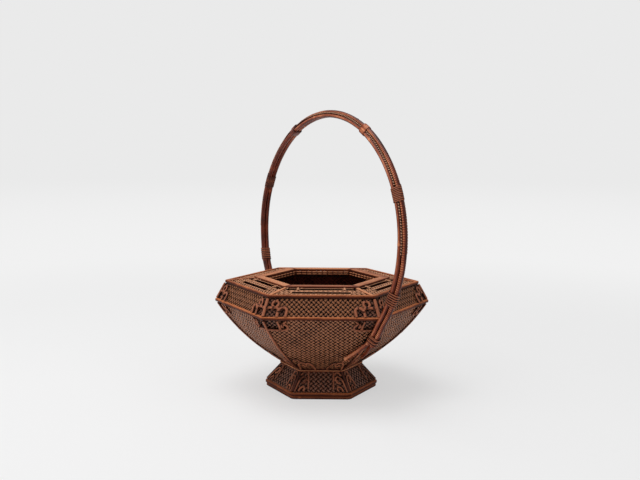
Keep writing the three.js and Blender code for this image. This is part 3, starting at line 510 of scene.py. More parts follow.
def deck_canes(panel, k):
    """Split canes along the slots' long edges and stouter ones at their ends."""
    outer_lip, inner_lip, lower_lip = (3.9, 0.9, -0.1), (3.9, 0.55, -0.3), (-4.0, 0.7, -0.7)
    for middle, start, end, lip in (
            (OUTER_SLOT, -43, 43, outer_lip), (INNER_SLOT, -32.2, 32.2, inner_lip),
            (INNER_SLOT, 34.8, 46.1, inner_lip), (INNER_SLOT, -46.1, -34.8, inner_lip)):
        for edge, radius, above in (lip, lower_lip):
            s = np.linspace(start, end, 24)
            h = middle + edge + wander(24, 0.06, 6)
            panel.tube(deck.place(k, s, h, above), deck.frame(k, h)[2], radius, flat=0.8)
    for middle, away, radius in ((INNER_SLOT, 33.5, 1.5), (OUTER_SLOT, 42.8, 0.9)):
        h = np.linspace(middle - 4.6, middle + 4.6, 8)
        for s in (-away, away):
            panel.tube(deck.place(k, s, h, 0.15), deck.frame(k, h)[2], radius, flat=0.75)


def woven_side(kind, section, k, inside, material, trim=None, **strips):
    panel = Piece()
    weave(panel, section, k, inside, **strips)
    if trim:
        trim(panel, k)
    panel.finish(f"{kind}_weave_{k + 1}", "woven_bamboo", material, f"{kind}_panel_{k + 1}")


for k in SIDES:
    woven_side("bowl", bowl, k, bowl_inside(k), WEAVE)
    woven_side("band", band, k, band_inside, BAND_WEAVE)
    woven_side("deck", deck, k, deck_inside, DECK_WEAVE, deck_canes, depth=-0.95)
    woven_side("foot", foot, k, within(foot, 0.9, 0.6, 0.8), WEAVE_DARK, pitch=5.2, width=2.8, depth=-1.1)

lining_ends = [bowl_place_at(z, -LINING_GAP) for z in (LINING_BOTTOM, LINING_TOP)]
lining_bowl = Section(bowl_line(np.linspace(*lining_ends, 50), -LINING_GAP))
lining_band = Section([[159.2, 135.5], [145.0, 161.6]])
lining_foot = Section([[81.25, 10.0], [55.75, 37.4]])
neck = Section([[62.0, 34.0], [57.2, 38.9], [63.8, 43.0]])


def lining_inside(section, k):
    def inside(s, h):
        notch = at_handle(section, k, s, h) & (np.abs(section.corner(h)[1] - LASHING_Z - 2.5) < 8.5)
        return within(section, 0.2, 0.2, 0.1)(s, h) & ~notch
    return inside


def sheet(piece, section, k, wear_and_shading=0.0, low=0.4, rows=5):
    """A lining's backing on one side, a thin closed leaf that shuts out the light between the strips; at its
    default lightness it takes the darkest colour, as painted shade inside the basket.
    """
    h = np.linspace(low, section.length - 0.2, rows)
    rings = np.stack([section.place(k, side * (section.half(h) - 0.45), h, w)
                      for side, w in ((-1, -0.62), (1, -0.62), (1, -0.78), (-1, -0.78))], axis=1)
    piece.rings(rings, np.zeros(2), h, wear_and_shading, wear_and_shading)


inner = Piece()
for k in SIDES:
    for section, rows in ((lining_bowl, 30), (lining_band, 5)):
        weave(inner, section, k, lining_inside(section, k), width=4.5, thick=0.4, depth=-0.7, lift=0.25,
              inner_side=True)
        sheet(inner, section, k, rows=rows)
inner.finish("inner_basket", "lining_bamboo", LINING, "bowl_lining")
inner = Piece()
for k in SIDES:
    weave(inner, lining_foot, k, lining_inside(lining_foot, k), width=4.72, thick=0.4, depth=-0.7, lift=0.22)
    sheet(inner, lining_foot, k, low=-1.2)
    sheet(inner, neck, k, 0.8)
inner.finish("inner_foot", "lining_bamboo", LINING, "foot_lining")

# A lattice, set back, in the band's corner compartments and the windows under the belt
lattice = Piece()
for k in SIDES:
    for section, *limits in ((band, 0.6, 1.5, 1.5, 34), (bowl, 0.6, bowl.length - 22, 2.5, 33)):
        weave(lattice, section, k, within(section, *limits), width=2.7, thick=0.45, depth=-2.35, lift=0.32)
lattice.finish("corner_lattice", "woven_bamboo", WEAVE_DARK)

# Flat stays at the corners, inside the outer canes
STAY_HALF = 0.8
stays = Piece()
for k in SIDES:
    across = level_axes(60 * k)[1] * STAY_HALF
    for section, low, high, inset, reach in ((band, 1.2, 1.2, 1.0, 6.2), (foot, 1.0, 1.5, 2.2, 6.4),
                                             (bowl, bowl.length - 23, 2.0, 1.6, 6.4)):
        r, z = section.corner(np.linspace(low, section.length - high, 8))
        rings = np.stack([corner_point(k, r - inset - away, z) + across * side
                          for away, side in ((reach, -1), (0, -1), (0, 1), (reach, 1))], axis=1)
        stays.rings(rings, np.zeros(2), z, 0.3)
stays.finish("corner_stays", "corner_cane", SCROLL)

throat = Piece()
for k in SIDES:
    weave(throat, collar, k, within(collar, 0.8, 0.3, 0), pitch=3.4, width=2.6, thick=0.4, depth=-0.8,
          lift=0.3)
throat.finish("throat_weave", "woven_bamboo", LINING, "throat_collar")


# Hoops

def hexagon_path(corner, z, rounding, per_side=22, arc=7):
    """A hexagon with rounded corners, listed anticlockwise, and its outward directions."""
    centre = corner - rounding / COS30
    points, out = [], []
    for k in SIDES:
        for turn in np.linspace(-30, 30, arc):
            out.append(level_axes(60 * k + turn)[0])
            points.append(corner_point(k, centre, z) + rounding * out[-1])
        here, there = points[-1], corner_point(k + 1, centre, z) + rounding * out[-1]
        points.extend(np.linspace(here, there, per_side + 2)[1:-1])
        out.extend([out[-1]] * per_side)
    return np.array(points), np.array(out)


def rounded_box(width, height, radius, steps=3):
    """A rectangle with rounded corners, x from -width (inside) to 0 (outside), y from 0 to height."""
    outer, inner, top = -radius, radius - width, height - radius
    corners = ((outer, top, 0), (inner, top, 90), (inner, radius, 180), (outer, radius, 270))
    turn = np.linspace(0, 90, steps + 1)
    return np.vstack([[x, y] + radius * circle(np.radians(start + turn)) for x, y, start in corners])


def hoop(piece, corner, bottom, width, height, rounding, edge, low):
    """A hoop of split bamboo with a convex outer face and faint nodes; low is the lightness at its lower
    edge, darker than the top as painted shade.
    """
    path, out = hexagon_path(corner, bottom, rounding)
    x, y = rounded_box(width, height, edge).T
    bulge = 0.25 * (clamp(1 - np.abs(y / height - 0.5) * 2) - 0.6)
    x = x + np.where(x > -edge * 1.01, bulge, 0)
    along = distances(path)
    drift = wander(len(path), 0.12, 5)
    drift[-3:] = drift[:3][::-1]
    knots = np.zeros(len(path))
    for at in np.arange(rng.random() * 60, along[-1], 105 + rng.random() * 30):
        knots += np.exp(-((along - at) / 1.6) ** 2)
    drift, knots = drift[:, None], knots[:, None]
    outwards = x + drift * 0.6 + knots * 0.3 * (x > -width / 2)
    uneven = np.stack([outwards, y + drift * 0.5 * (y > height / 2)], axis=-1)
    # lighter towards the top edge as painted light from above; nodes are rubbed lighter
    lit = low + (0.88 - low) * clamp(y / height) ** 1.6
    wear_and_shading = clamp(lit + 0.2 * knots + 0.3 * drift)
    # the box is taken backwards, so that the faces look outwards
    rings, across = set_round(path, out, UP[None], uneven)[:, ::-1], np.stack([x, y], axis=-1)[::-1]
    piece.rings(rings, across, along + fibre_start(), wear_and_shading[:, ::-1], closed=True)


# The four hoops, with their corner radius, bottom, width, height, rounding, edge and lightness at the
# lower edge (painted shade)
for name, replaced, material, sizes in (
        ("foot_ring_lower", "foot_hoop_lower", FOOT_RING, (86.8, 0, 6.0, 4.7, 9, 1.2, 0.4)),
        ("foot_ring_upper", "foot_hoop_upper", FOOT_RING, (88.4, 5, 6.0, 4.7, 9, 1.3, 0.35)),
        ("belt_hoop", "belt_ring", RING, (165.6, 133.2, 5.2, 4.6, 4, 1.3, 0.08)),
        ("rim_hoop", "rim_ring", RING, (150, 161.9, 5.0, 5.0, 4, 1.5, 0.08))):
    ring = Piece()
    hoop(ring, *sizes)
    ring.finish(name, "ring_bamboo", material, replaced)

# The waist ring, a round cane outside the staves
ring = Piece()
path, _ = hexagon_path(64.6, 38.15, 7.0)
# the lighter mouth material and tone 1 paint highlights on this thin cane; its top is lighter as painted
# light
ring.tube(path, UP, 1.0 + wander(len(path), 0.04, 4), 10, True, tone=1.0)
ring.finish("waist_cane", "fine_cane", MOUTH_RING, "waist_ring")

# The mouth rim, a flat mitred frame, and a bar over each joint of the deck
MOUTH_CORNER, MOUTH_Z, MOUTH_WIDTH, MOUTH_HEIGHT = 104.5, 169.0, 13.4, 3.6
BAR_WIDTH, BAR_HEIGHT, BAR_END = 4.6, 2.6, 99.8
mouth = Piece()
profile = rounded_box(MOUTH_WIDTH, MOUTH_HEIGHT, 0.8)
x, y = profile.T
share = np.linspace(-1, 1, 19)[:, None]
for k in SIDES:
    _, along = level_axes(60 * k + 30)
    from_middle = MOUTH_CORNER * COS30 + x
    half = from_middle * TAN30 - 0.03
    z = MOUTH_Z + y + 0.05 * np.sin(7 * share + k) * (y > MOUTH_HEIGHT / 2)
    rings = corner_point(k + 0.5, from_middle, z) + along * (half * share)[..., None]
    # the top face is lighter, most of all at the inner lip, as painted highlight from above; it darkens at
    # the mitred joints
    top = clamp((y - 2.7) / 0.8) * (1 - 0.7 * np.exp(-((1 - np.abs(share)) * half) ** 2))
    wear_and_shading = clamp(0.08 + 0.55 * top + 0.2 * top * (x < -12))
    mouth.rings(rings[:, ::-1], profile[::-1], np.linspace(0, 104, 19) + fibre_start(), wear_and_shading[:, ::-1])
bar = rounded_box(BAR_WIDTH, BAR_HEIGHT, 1.15) + [BAR_WIDTH / 2, -1.5]
bar_line = np.linspace(DECK_OUTER + [2.2 - BAR_WIDTH / 2 * TAN30, 0.15], (BAR_END, DECK_INNER[1] - 0.25), 12)
for k in SIDES:
    mouth.tube(corner_point(k, *bar_line.T), UP, outline=bar)
mouth.finish("mouth_rim", "ring_bamboo", MOUTH_RING, "mouth_frame")

# Throat hoops, with stitches round them
HOOP_CORNER, HOOP_ROUNDING, STITCH_RADIUS = 88.4, 3.0, 1.6
for name, z in (("upper", 167.2), ("lower", 163.9)):
    ring = Piece()
    path, _ = hexagon_path(HOOP_CORNER, z, HOOP_ROUNDING)
    # lighter on top and darker below, as painted light from above
    wear_and_shading = np.clip(0.4 + 0.5 * np.sin(round_angles(10)), 0.1, 0.8)
    ring.tube(path, UP, 1.15, 10, True, tone=0.8, wear_and_shading=wear_and_shading)
    path, out = hexagon_path(HOOP_CORNER, z, HOOP_ROUNDING, per_side=9, arc=3)
    for i, (centre, outwards) in enumerate(zip(path, out)):
        if i % 12 == 1:  # the middle of a corner
            continue
        along = np.cross(UP, outwards)
        loop = centre + STITCH_RADIUS * circle(np.linspace(-0.4, tau - 0.4, 11)) @ [outwards, UP]
        ring.tube(loop + np.outer(np.linspace(-0.7, 0.7, 11), along), along, 0.55, 5, tone=0.2, wear_and_shading=0.15)
    ring.finish(f"throat_cane_{name}", "fine_cane", MOUTH_RING, f"throat_hoop_{name}")


# Staves, posts and their scrolls

FOOT_SHADE = 0.8  # scrolls on the foot are painted darker, as painted shade under the bowl


class Trim:
    """Canes on one wall, beside a corner, on the side towards corner + side."""

    def __init__(self, piece, section, corner, side):
        self.piece, self.section, self.corner, self.side = piece, section, corner, side
        self.k = corner if side > 0 else corner - 1

    def scroll(self, points, radius, above=None, count=8, tone=None):
        """A bent cane through points: away from the corner, h, and the height above the wall if given."""
        points = np.asarray(points, float)
        if points.shape[1] == 2:
            height = 0.75 * radius + 0.1 if above is None else above
            points = np.column_stack([points, np.full(len(points), height)])
        path, outwards = self.section.beside(self.corner, self.side, *spline(points, count).T)
        size = radius * (1 + wander(len(path), 0.05, 5))
        lit = (0.5 + 0.55 * np.sin(round_angles(10))) * (FOOT_SHADE if self.section is foot else 1.0)
        wear_and_shading = clamp(lit + wander(len(path), 0.07, 6)[:, None])
        self.piece.tube(path, outwards, size, 10, flat=0.75, tone=tone, wear_and_shading=wear_and_shading)

    def straight(self, from_middle, h, radius):
        """A plain cane, given by its distance from the side's middle."""
        path = self.section.place(self.k, -self.side * from_middle, h, 1.1)
        self.piece.tube(path, self.section.frame(self.k, h)[2], radius, flat=0.75, tone=1.0, wear_and_shading=0.62)

    def tie(self, away, h, across, size=2.5):
        """Three turns of fine cane where two canes meet, across if those run along the side."""
        turn = np.linspace(0.3, tau + 0.3, 13)[:-1]
        swing, above = size * np.cos(turn), 1 + 0.8 * size * np.sin(turn)
        direction = self.section.frame(self.k, h)[0 if across else 1]
        for step in (-1, 0, 1):
            place = (away + swing, h + step) if across else (away + step, h + swing)
            path, _ = self.section.beside(self.corner, self.side, *place, above)
            self.piece.tube(path, direction, 0.6 + 0.08 * rng.random(), 6, True, tone=1.0)


def down(points):
    """Points given down from the belt's middle, as heights on the bowl."""
    return [(away, bowl.length - below, *above) for away, below, *above in points]


def bowl_top_scrolls(trim):
    sill = [(6, 19.6), (STEM - 6, 20.2), (STEM, 20.6), (SILL_END - 5, 19.8), (SILL_END - 1, 17.2),
            (SILL_END, 13.2), (SILL_END - 2.2, 9.8), (SILL_END - 6, 9.4), (SILL_END - 8.2, 12.2),
            (SILL_END - 6.4, 14.8)]
    trim.scroll(down([(0.8, 20.2, 0.9)] + [(*point, 1.3) for point in sill]), 1.85, tone=0.0)
    trim.scroll(down([(STEM, 3.4), (STEM + 0.3, 11), (STEM, 19.8)]), 1.7)
    trim.scroll(down([(SILL_END + 1.5, 3.6), (SILL_END - 1, 5.4), (SILL_END - 4.5, 8.6)]), 1.4)
    trim.tie(STEM, bowl.length - 18.6, False)
    trim.tie(SILL_END - 5.0, bowl.length - 9.6, True, 2.2)


def bowl_bottom_scrolls(trim):
    trim.scroll([(1.8, 6), (4.6, 14), (8, 24), (12.4, 31), (17, 30.4), (19, 25), (16.8, 19.6), (13.4, 20.4),
                 (13, 24.6)], 1.5, 1.25)
    trim.scroll([(19.2, 25), (22, 29.6), (25.2, 27), (26.2, 20), (25, 11), (22.8, 4.6)], 1.5, 1.25)
    trim.scroll([(5, 36), (8.6, 41), (12.6, 40), (13.6, 35)], 1.3, 1.25)


def foot_scrolls(trim):
    trim.scroll([(3.2, 1.2), (3.6, 14), (5, 21.5), (8.8, 25), (12.6, 23), (13.6, 18.6), (11.6, 15),
                 (8.4, 15.6)], 1.4)
    trim.scroll([(2.6, 27), (6.2, 31.5), (10.4, 31), (12.2, 27.4)], 1.3)
    trim.scroll([(9, 2), (9.4, 6.6), (13, 9), (16, 6.4), (15.6, 2)], 1.3)
    trim.straight(18.6, np.linspace(5.0, foot.length - 1.2, 12), 1.2 + wander(12, 0.06, 4))
    trim.straight(np.linspace(18.6, 25.0, 8), np.full(8, 19.4), 1.1)


def band_scrolls(trim):
    middle, far = STEM + ARCH_RADIUS, STEM + 2 * ARCH_RADIUS
    arch = [middle, ARCH_SPRING] + ARCH_RADIUS * circle(np.linspace(pi, 0, 9))
    trim.scroll([(STEM, 2.4), (STEM, 6), *arch, (far, 6), (far, 2.4)], 2.1, count=4, tone=0.3)
    link = [(0.8, 15.5, 0.8), (5, 15.5, 1.2), (13, 15.6, 1.3), (17, 14.6, 1.4), (STEM + 0.8, 12.4, 1.5)]
    trim.scroll(link, 1.8, tone=0.3)
    turns = np.linspace(0, radians(345), 13) - pi / 2
    sizes = 5.2 * np.linspace(1, 0.68, 13)[:, None]
    trim.scroll([12.6, 20.7] + sizes * circle(turns), 1.9, count=4, tone=0.2)
    trim.tie(12.6, 15.6, True, 2.9)
    trim.tie(STEM + 0.4, 10.4, False, 2.7)
    trim.tie(3.4, 15.5, True, 2.4)
    trim.tie(12.8, 25.6, True, 2.2)
    trim.tie(middle, ARCH_SPRING + ARCH_RADIUS, True, 2.4)


def stave_line():
    """The corner line from the foot hoop to the belt, with a bend at the waist."""
    lower = unit(WAIST - FOOT)
    upper = unit(bowl_line(0.02) - bowl_line(0.0))
    trimmed = 2.5 * tan(acos(lower @ upper) / 2)
    a, b = WAIST - lower * trimmed, WAIST + upper * trimmed
    t = np.linspace(0, 1, 7)[:, None]
    bend = (1 - t) ** 2 * a + 2 * t * (1 - t) * WAIST + t ** 2 * b
    below = np.linspace(FOOT + lower * 1.9, a, 9)[:-1]
    above = bowl_line(np.linspace(0.03, bowl_place_at(131.6), 34))
    return np.vstack([below, bend, above])


def stave(k):
    piece = Piece()
    path = corner_point(k, *stave_line().T)
    outwards = unit(np.cross(level_axes(60 * k)[1], np.gradient(path, axis=0)))
    length = distances(path)
    radius = 1.95 + wander(len(path), 0.05, 5)
    for at in (38 + rng.random() * 20, 105 + rng.random() * 25):
        radius += 0.3 * np.exp(-((length - at) / 2.0) ** 2)
    # darker low on the foot as painted shade under the bowl, and lighter on the outer face as painted light
    fade = np.clip((path[:, 2:] - 30) / 40, 0.55, 1)
    wear_and_shading = fade * (0.5 + 0.45 * np.sin(round_angles(12)))
    piece.tube(path, outwards, radius, 12, wear_and_shading=wear_and_shading, tone=0.5)
    for side in (1, -1):
        bowl_top_scrolls(Trim(piece, bowl, k, side))
        bowl_bottom_scrolls(Trim(piece, bowl, k, side))
        foot_scrolls(Trim(piece, foot, k, side))
    piece.finish(f"stave_{k + 1}", "corner_cane", SCROLL, f"corner_stave_{k + 1}")


def post(k):
    piece = Piece()
    path = corner_point(k, *band.corner(np.linspace(3.2, band.length - 3.6, 12)))
    # tone 1 makes the posts lighter: painted light on the corners that catch the lamps
    piece.tube(path, level_axes(60 * k)[0], 2.35 + wander(12, 0.05, 4), 12, tone=1.0)
    for side in (1, -1):
        band_scrolls(Trim(piece, band, k, side))
    piece.finish(f"post_{k + 1}", "corner_cane", SCROLL, f"band_post_{k + 1}")


for k in SIDES:
    stave(k)
    post(k)

# Handle

HALF_SPAN, WIDEST_Z, RISE, STANDOFF = 211.0, 240.0, 180.5, 7.0
HOOP_TOP = WIDEST_Z + RISE
ROD_RADIUS, ROD_TOP_RADIUS, PRONG_TIP_RADIUS, ROD_GAP = 3.5, 3.0, 3.1, 0.3
LEAN, LEAN_FROM = 11.0, 145.0  # the hoop's top lies a little to one side
PRONG_TIP_Z, PRONG_AWAY = 68.0, 15.5
STAVE_IN_BUNDLE = (-STANDOFF, 0, 2)
SPLICE_Z = 396.0
MID_WRAP_Z, LOW_WRAP_Z = 311.0, (183.6, 171.0)
Y = np.array([0, 1.0, 0])
COS60, SIN60 = cos(pi / 3), sin(pi / 3)


def spine_line():
    """The bundle's middle line from the -X leg to the +X leg, with points 1 mm apart."""
    upper = [0, WIDEST_Z] + circle(np.radians(np.linspace(90, 0, 90))) * [HALF_SPAN, RISE]
    inwards, drop = (HALF_SPAN, WIDEST_Z) - bowl_line(1.0, STANDOFF)
    radius = (inwards ** 2 + drop ** 2) / (2 * inwards)
    angle = np.linspace(0, asin(drop / radius), 40)[1:-1]
    arc = [HALF_SPAN - radius, WIDEST_Z] + radius * circle(-angle)
    low = bowl_line(np.linspace(1, bowl_place_at(LASHING_Z - 9.6, STANDOFF), 14), STANDOFF)
    right = np.vstack([upper, arc, low])
    line = np.insert(np.vstack([right[:0:-1] * [-1, 1], right]), 1, 0, axis=1)
    for _ in range(3):
        line[1:-1] = (line[:-2] + 2 * line[1:-1] + line[2:]) / 4
    length = distances(line)
    return interpolate(np.linspace(0, length[-1], round(length[-1]) + 1), length, line)


spine = spine_line()
spine_along = unit(np.gradient(spine, axis=0))
spine_out = spine_along[:, ::-1] * [-1, 0, 1]
spine_at = distances(spine)
SPINE_LENGTH = spine_at[-1]


def spine_frame(at):
    """The bundle's middle, direction along it and outwards, at distances along the spine."""
    middle, along, out = (interpolate(at, spine_at, source) for source in (spine, spine_along, spine_out))
    up = clamp((middle[..., 2] - LEAN_FROM) / (HOOP_TOP - LEAN_FROM))
    ramp = clamp(up / 0.25)
    middle[..., 1] = LEAN * up * ramp ** 2 * (3 - 2 * ramp)
    return middle, unit(along), unit(out)


def spine_place(z, side):
    """The distance along the spine where it has a height, on the -X or the +X leg."""
    half = len(spine) // 2
    place = np.interp(z, spine[:half, 2], spine_at[:half])
    return place if side < 0 else SPINE_LENGTH - place


SPLICE_AT = [spine_place(SPLICE_Z, side) for side in (-1, 1)]


def rod_radius(at):
    inside = clamp((np.minimum(at, SPINE_LENGTH - at) - SPLICE_AT[0] + 2) / 4)
    return ROD_RADIUS + (ROD_TOP_RADIUS - ROD_RADIUS) * inside ** 2 * (3 - 2 * inside)


def rod_spacing(radius):
    """How far the rods' middles lie from the bundle's middle."""
    return (2 * radius + ROD_GAP) / sqrt(3)


def circles(at):
    """Middle (outwards, sideways) and radius of the outer, back and front rod."""
    radius = rod_radius(at)
    spacing = rod_spacing(radius)
    return [(spacing * cos(a), spacing * sin(a), radius) for a in np.radians([0, 120, 240])]


def prong(side, face):
    """The end of an inner rod, from the bundle's end to its tip against the bowl."""
    end = SPINE_LENGTH if side > 0 else 0
    middle, _, out = spine_frame(end)
    x, y, _ = circles(end)[1]
    start = middle + out * x + Y * face * y
    corner, towards = (0 if side > 0 else 3), face * side
    tip, _ = bowl.beside(corner, towards, PRONG_AWAY, bowl.h_at(PRONG_TIP_Z), 2.8)
    away, z = (PRONG_AWAY + abs(y)) / 2, (start[2] + PRONG_TIP_Z) / 2
    bend, _ = bowl.beside(corner, towards, away, bowl.h_at(z), 4.3)
    return spline([start, bend, tip], 10)[1:]


def inner_rod_wear_and_shading(path, length, knots, angle, face):
    """Lighter on the outer faces as painted highlight and on the faces towards the inside of the hoop as
    painted sheen; less on the -X leg, more at the shoulder, the knots and the ends.
    """
    facing, inward = np.sin(angle) * face, np.cos(angle)
    less = clamp(-path[:, :1] / 150)
    worn_and_lit = 0.19 + (0.5 - 0.26 * less) * clamp(0.95 * facing - 0.28 * inward) ** 3
    worn_and_lit += 0.2 * clamp(0.6 * inward - 0.8 * facing) + 0.06 * clamp(inward)
    worn_and_lit += 0.2 * near_shoulder(path[:, :1] + 95, path[:, 2:]) + 0.25 * np.clip(knots, -1, 1)[:, None]
    from_end = np.minimum(length, length[-1] - length)[:, None]
    return worn_and_lit + clamp(1 - from_end / 7) * 0.3 + clamp((50 - from_end) / 15) * 0.2


def near_shoulder(away, z):
    """1 on the -X shoulder of the hoop, falling off along x."""
    return np.exp(-(away / 45) ** 2) * (z > 380)


def rod(index, face, place):
    """One rod. The outer one is a rhizome with close-set low rings, the inner ones are smooth canes."""
    piece = Piece()
    at = np.linspace(0, SPINE_LENGTH, 330 if face else 1700)
    middle, _, out = spine_frame(at)
    x, y, radius = circles(at)[index]
    path = middle + out * x[:, None] + Y * y[:, None]
    if face:
        ends = [prong(side, face) for side in (-1, 1)]
        taper = np.linspace(ROD_RADIUS, PRONG_TIP_RADIUS, len(ends[0]) + 1)[1:]
        path = np.vstack([ends[0][::-1], path, ends[1]])
        radius = np.concatenate([taper[::-1], radius, taper])
    length = distances(path)
    radius = radius - 0.1 + wander(len(path), 0.05, 9 if face else 45)
    knots = np.zeros(len(path))
    for knot in np.arange(60 + 45 * index, length[-1] - 30, 168.0):
        knots += np.exp(-((length - knot) / 2.2) ** 2) - 0.6 * np.exp(-((length - knot - 2.4) / 0.9) ** 2)
    radius += 0.28 * knots
    angle = round_angles(16)
    if face:
        worn_and_lit = inner_rod_wear_and_shading(path, length, knots, angle, face)
    else:
        # lighter on the faces towards -Y and +Y and in dots on the ridges, as painted highlights
        ridge = 0.5 + 0.5 * np.cos(tau * length / 3.1)
        radius = radius - 0.14 + 0.2 * ridge
        worn_and_lit = 0.08 + (0.34 + 0.5 * (ridge ** 2)[:, None]) * np.abs(np.sin(angle)) ** 1.3
    piece.tube(path, Y, outline=circle(angle) * radius[:, None, None], wear_and_shading=clamp(worn_and_lit))
    piece.finish(f"hoop_rod_{place}", "handle_rod", ROD, f"handle_rod_{place}")


rod(0, 0, "outer")
rod(1, 1, "back")
rod(2, -1, "front")


def taut(items, angle, clearance):
    """Points, facing the given angles, of a line drawn tight round circles with a clearance."""
    facing = circle(angle)
    items = np.array([[np.broadcast_to(value, angle.shape) for value in item] for item in items])
    x, y, r = items.swapaxes(0, 1)
    best = (x * facing[:, 0] + y * facing[:, 1] + r).argmax(axis=0)
    chosen = items[best, :, np.arange(len(angle))]
    return chosen[:, :2] + facing * (chosen[:, 2:] + clearance)


def winding(piece, z, side, turns, pitch, radius, flat=0.5, stave=False, above=0.15, tone=None, lit=1.35):
    """Fine cane wound round the rods, as one closed tube."""
    turn = np.arange(0, turns * 26 + 1) / 26
    at = spine_place(z, side) + (turn - turns / 2) * pitch
    middle, along, out = spine_frame(at)
    xy = taut(circles(at) + [STAVE_IN_BUNDLE] * stave, turn * tau + 0.4, above + radius * flat)
    path = middle + out * xy[:, :1] + Y * xy[:, 1:]
    # a flat split cane: thin outwards, wide along the rods
    outward = np.cross(along, unit(np.gradient(path, axis=0)))
    outward = unit(outward * np.sign(np.sum(outward * (path - middle), axis=1))[:, None])
    # lighter on the crest of the flat cane and darker at its edges, as painted highlight and shade
    crown = clamp(np.sin(round_angles(10))) ** 2.5
    worn_and_lit = clamp(lit * crown - 0.12 + wander(len(path), 0.12, 7)[:, None])
    piece.tube(path, outward, radius * (1 + wander(len(path), 0.04, 9)), 10, flat=flat, tone=tone, wear_and_shading=worn_and_lit)


def splice(i, wear_and_shading):
    """A flat band with soft edges, drawn tight round the three rods."""
    piece = Piece()
    at = SPLICE_AT[i - 1] + np.array([-6.6, -6.5, -6.2, -5.6, 0, 5.6, 6.2, 6.5, 6.6])
    swell = np.array([0.1, 0.4, 0.75, 0.95, 1.0, 0.95, 0.75, 0.4, 0.1])
    angle = np.linspace(0, tau, 28, endpoint=False)
    middle, _, out = spine_frame(at)
    outline = np.array([taut(circles(0), angle, 0.1 + 0.6 * thick) for thick in swell])
    rings = set_round(middle, out, Y[None], outline)
    # lighter in the band's middle and darker at its soft edges, as painted shade where it meets the rods
    piece.rings(rings[:, ::-1], circle(angle)[::-1] * 7, at, swell[:, None] ** 2 * wear_and_shading, 0.3)
    piece.finish(f"splice_{i}", "handle_rod", ROD, f"handle_splice_{i}")


def leg_windings(i, side, mid_tone, mid_lit, splice_lightness):
    piece = Piece()
    winding(piece, MID_WRAP_Z, side, 9, 2.35, 1.05, flat=0.45, tone=mid_tone, lit=mid_lit)
    piece.finish(f"mid_wrap_{i}", "fine_cane", FINE, f"handle_wrap_mid_{i}")
    piece = Piece()
    winding(piece, LOW_WRAP_Z[i - 1], side, 6, 3.45, 1.3, flat=0.4, tone=0.3, lit=1.3)
    piece.finish(f"low_wrap_{i}", "fine_cane", FINE, f"handle_wrap_low_{i}")
    # the lashing takes in the corner stave, and a second layer crosses the first
    piece = Piece()
    winding(piece, LASHING_Z, side, 5, 3.2, 1.05, stave=True, tone=0.3, lit=0.85)
    winding(piece, LASHING_Z, side, 2.4, -6.4, 0.9, stave=True, above=0.85, tone=1.0, lit=2.0)
    piece.finish(f"lashing_{i}", "fine_cane", FINE, f"handle_lashing_{i}")
    splice(i, splice_lightness)


leg_windings(1, -1, mid_tone=0.1, mid_lit=1.1, splice_lightness=0.36)
leg_windings(2, 1, mid_tone=0.25, mid_lit=1.35, splice_lightness=0.7)

# Twisted cord in the grooves beside the outer rod, between the windings
STRAND_RADIUS, STRAND_OFFSET, CORD_PITCH, CORD_STEP, SPLICE_CLEAR = 0.68, 0.62, 7.8, 0.55, 8.0
left, right = ([spine_place(z, side) for z in (232, 301, 322)] for side in (-1, 1))
stops = left + [at + gap for at in SPLICE_AT for gap in (-SPLICE_CLEAR, SPLICE_CLEAR)] + right[::-1]
cord = Piece()
for face in (-1, 1):
    for start, end in zip(stops[::2], stops[1::2]):
        at = np.linspace(start, end, int((end - start) / CORD_STEP))
        middle, _, out = spine_frame(at)
        radius = rod_radius(at)
        # the groove between the outer rod and one inner rod faces 60 degrees
        groove = unit(out * COS60 + Y * face * SIN60)
        reach = rod_spacing(radius) / 2 + np.sqrt((radius + 1.25) ** 2 - (radius + 0.15) ** 2)
        for strand in (0, 1):
            turn = at / CORD_PITCH * tau + strand * pi
            xy = reach[:, None] * [COS60, face * SIN60] + STRAND_OFFSET * circle(turn)
            path = middle + out * xy[:, :1] + Y * xy[:, 1:]
            # strands are lighter where they turn out of the groove and darker inside it, as painted
            # highlight and shade; darker at the -X shoulder
            shown = (0.5 + 0.5 * np.cos(turn - face * radians(60))) ** 5
            shown *= (1.15 - 0.9 * near_shoulder(path[:, 0] + 100, path[:, 2]))
            cord.tube(path, groove, STRAND_RADIUS, 6, wear_and_shading=clamp(shown)[:, None], tone=0.5)
cord.finish("groove_cord", "fine_cane", CORD)

# One plaited mat over the whole floor, on a thin board
floor_low, floor_high = (np.array(corner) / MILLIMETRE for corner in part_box("bowl_floor"))
floor_corner = (floor_high[0] - floor_low[0]) / 2 - 0.1
mat_z = floor_high[2] - 0.35
mat_section = Section([[floor_corner, mat_z], [-floor_corner, mat_z]])


def mat_inside(s, h):
    narrowing = np.abs(h - mat_section.length / 2) * TAN30
    return (h > 0.3) & (h < mat_section.length - 0.3) & (np.abs(s) < floor_corner - 0.6 - narrowing)


mat = Piece()
board = [[corner_point(k, floor_corner, z) for k in SIDES]
         for z in (floor_low[2] + 0.05, floor_high[2] - 0.95)]
mat.rings(np.array(board), np.zeros(2), [0, 1], 0.1, 0.3)
weave(mat, mat_section, 0, mat_inside, width=4.4, thick=0.4, depth=-0.25, lift=0.22)
mat.finish("floor_mat", "floor_board", LINING, "bowl_floor")

# Stage, lights and camera, in metres

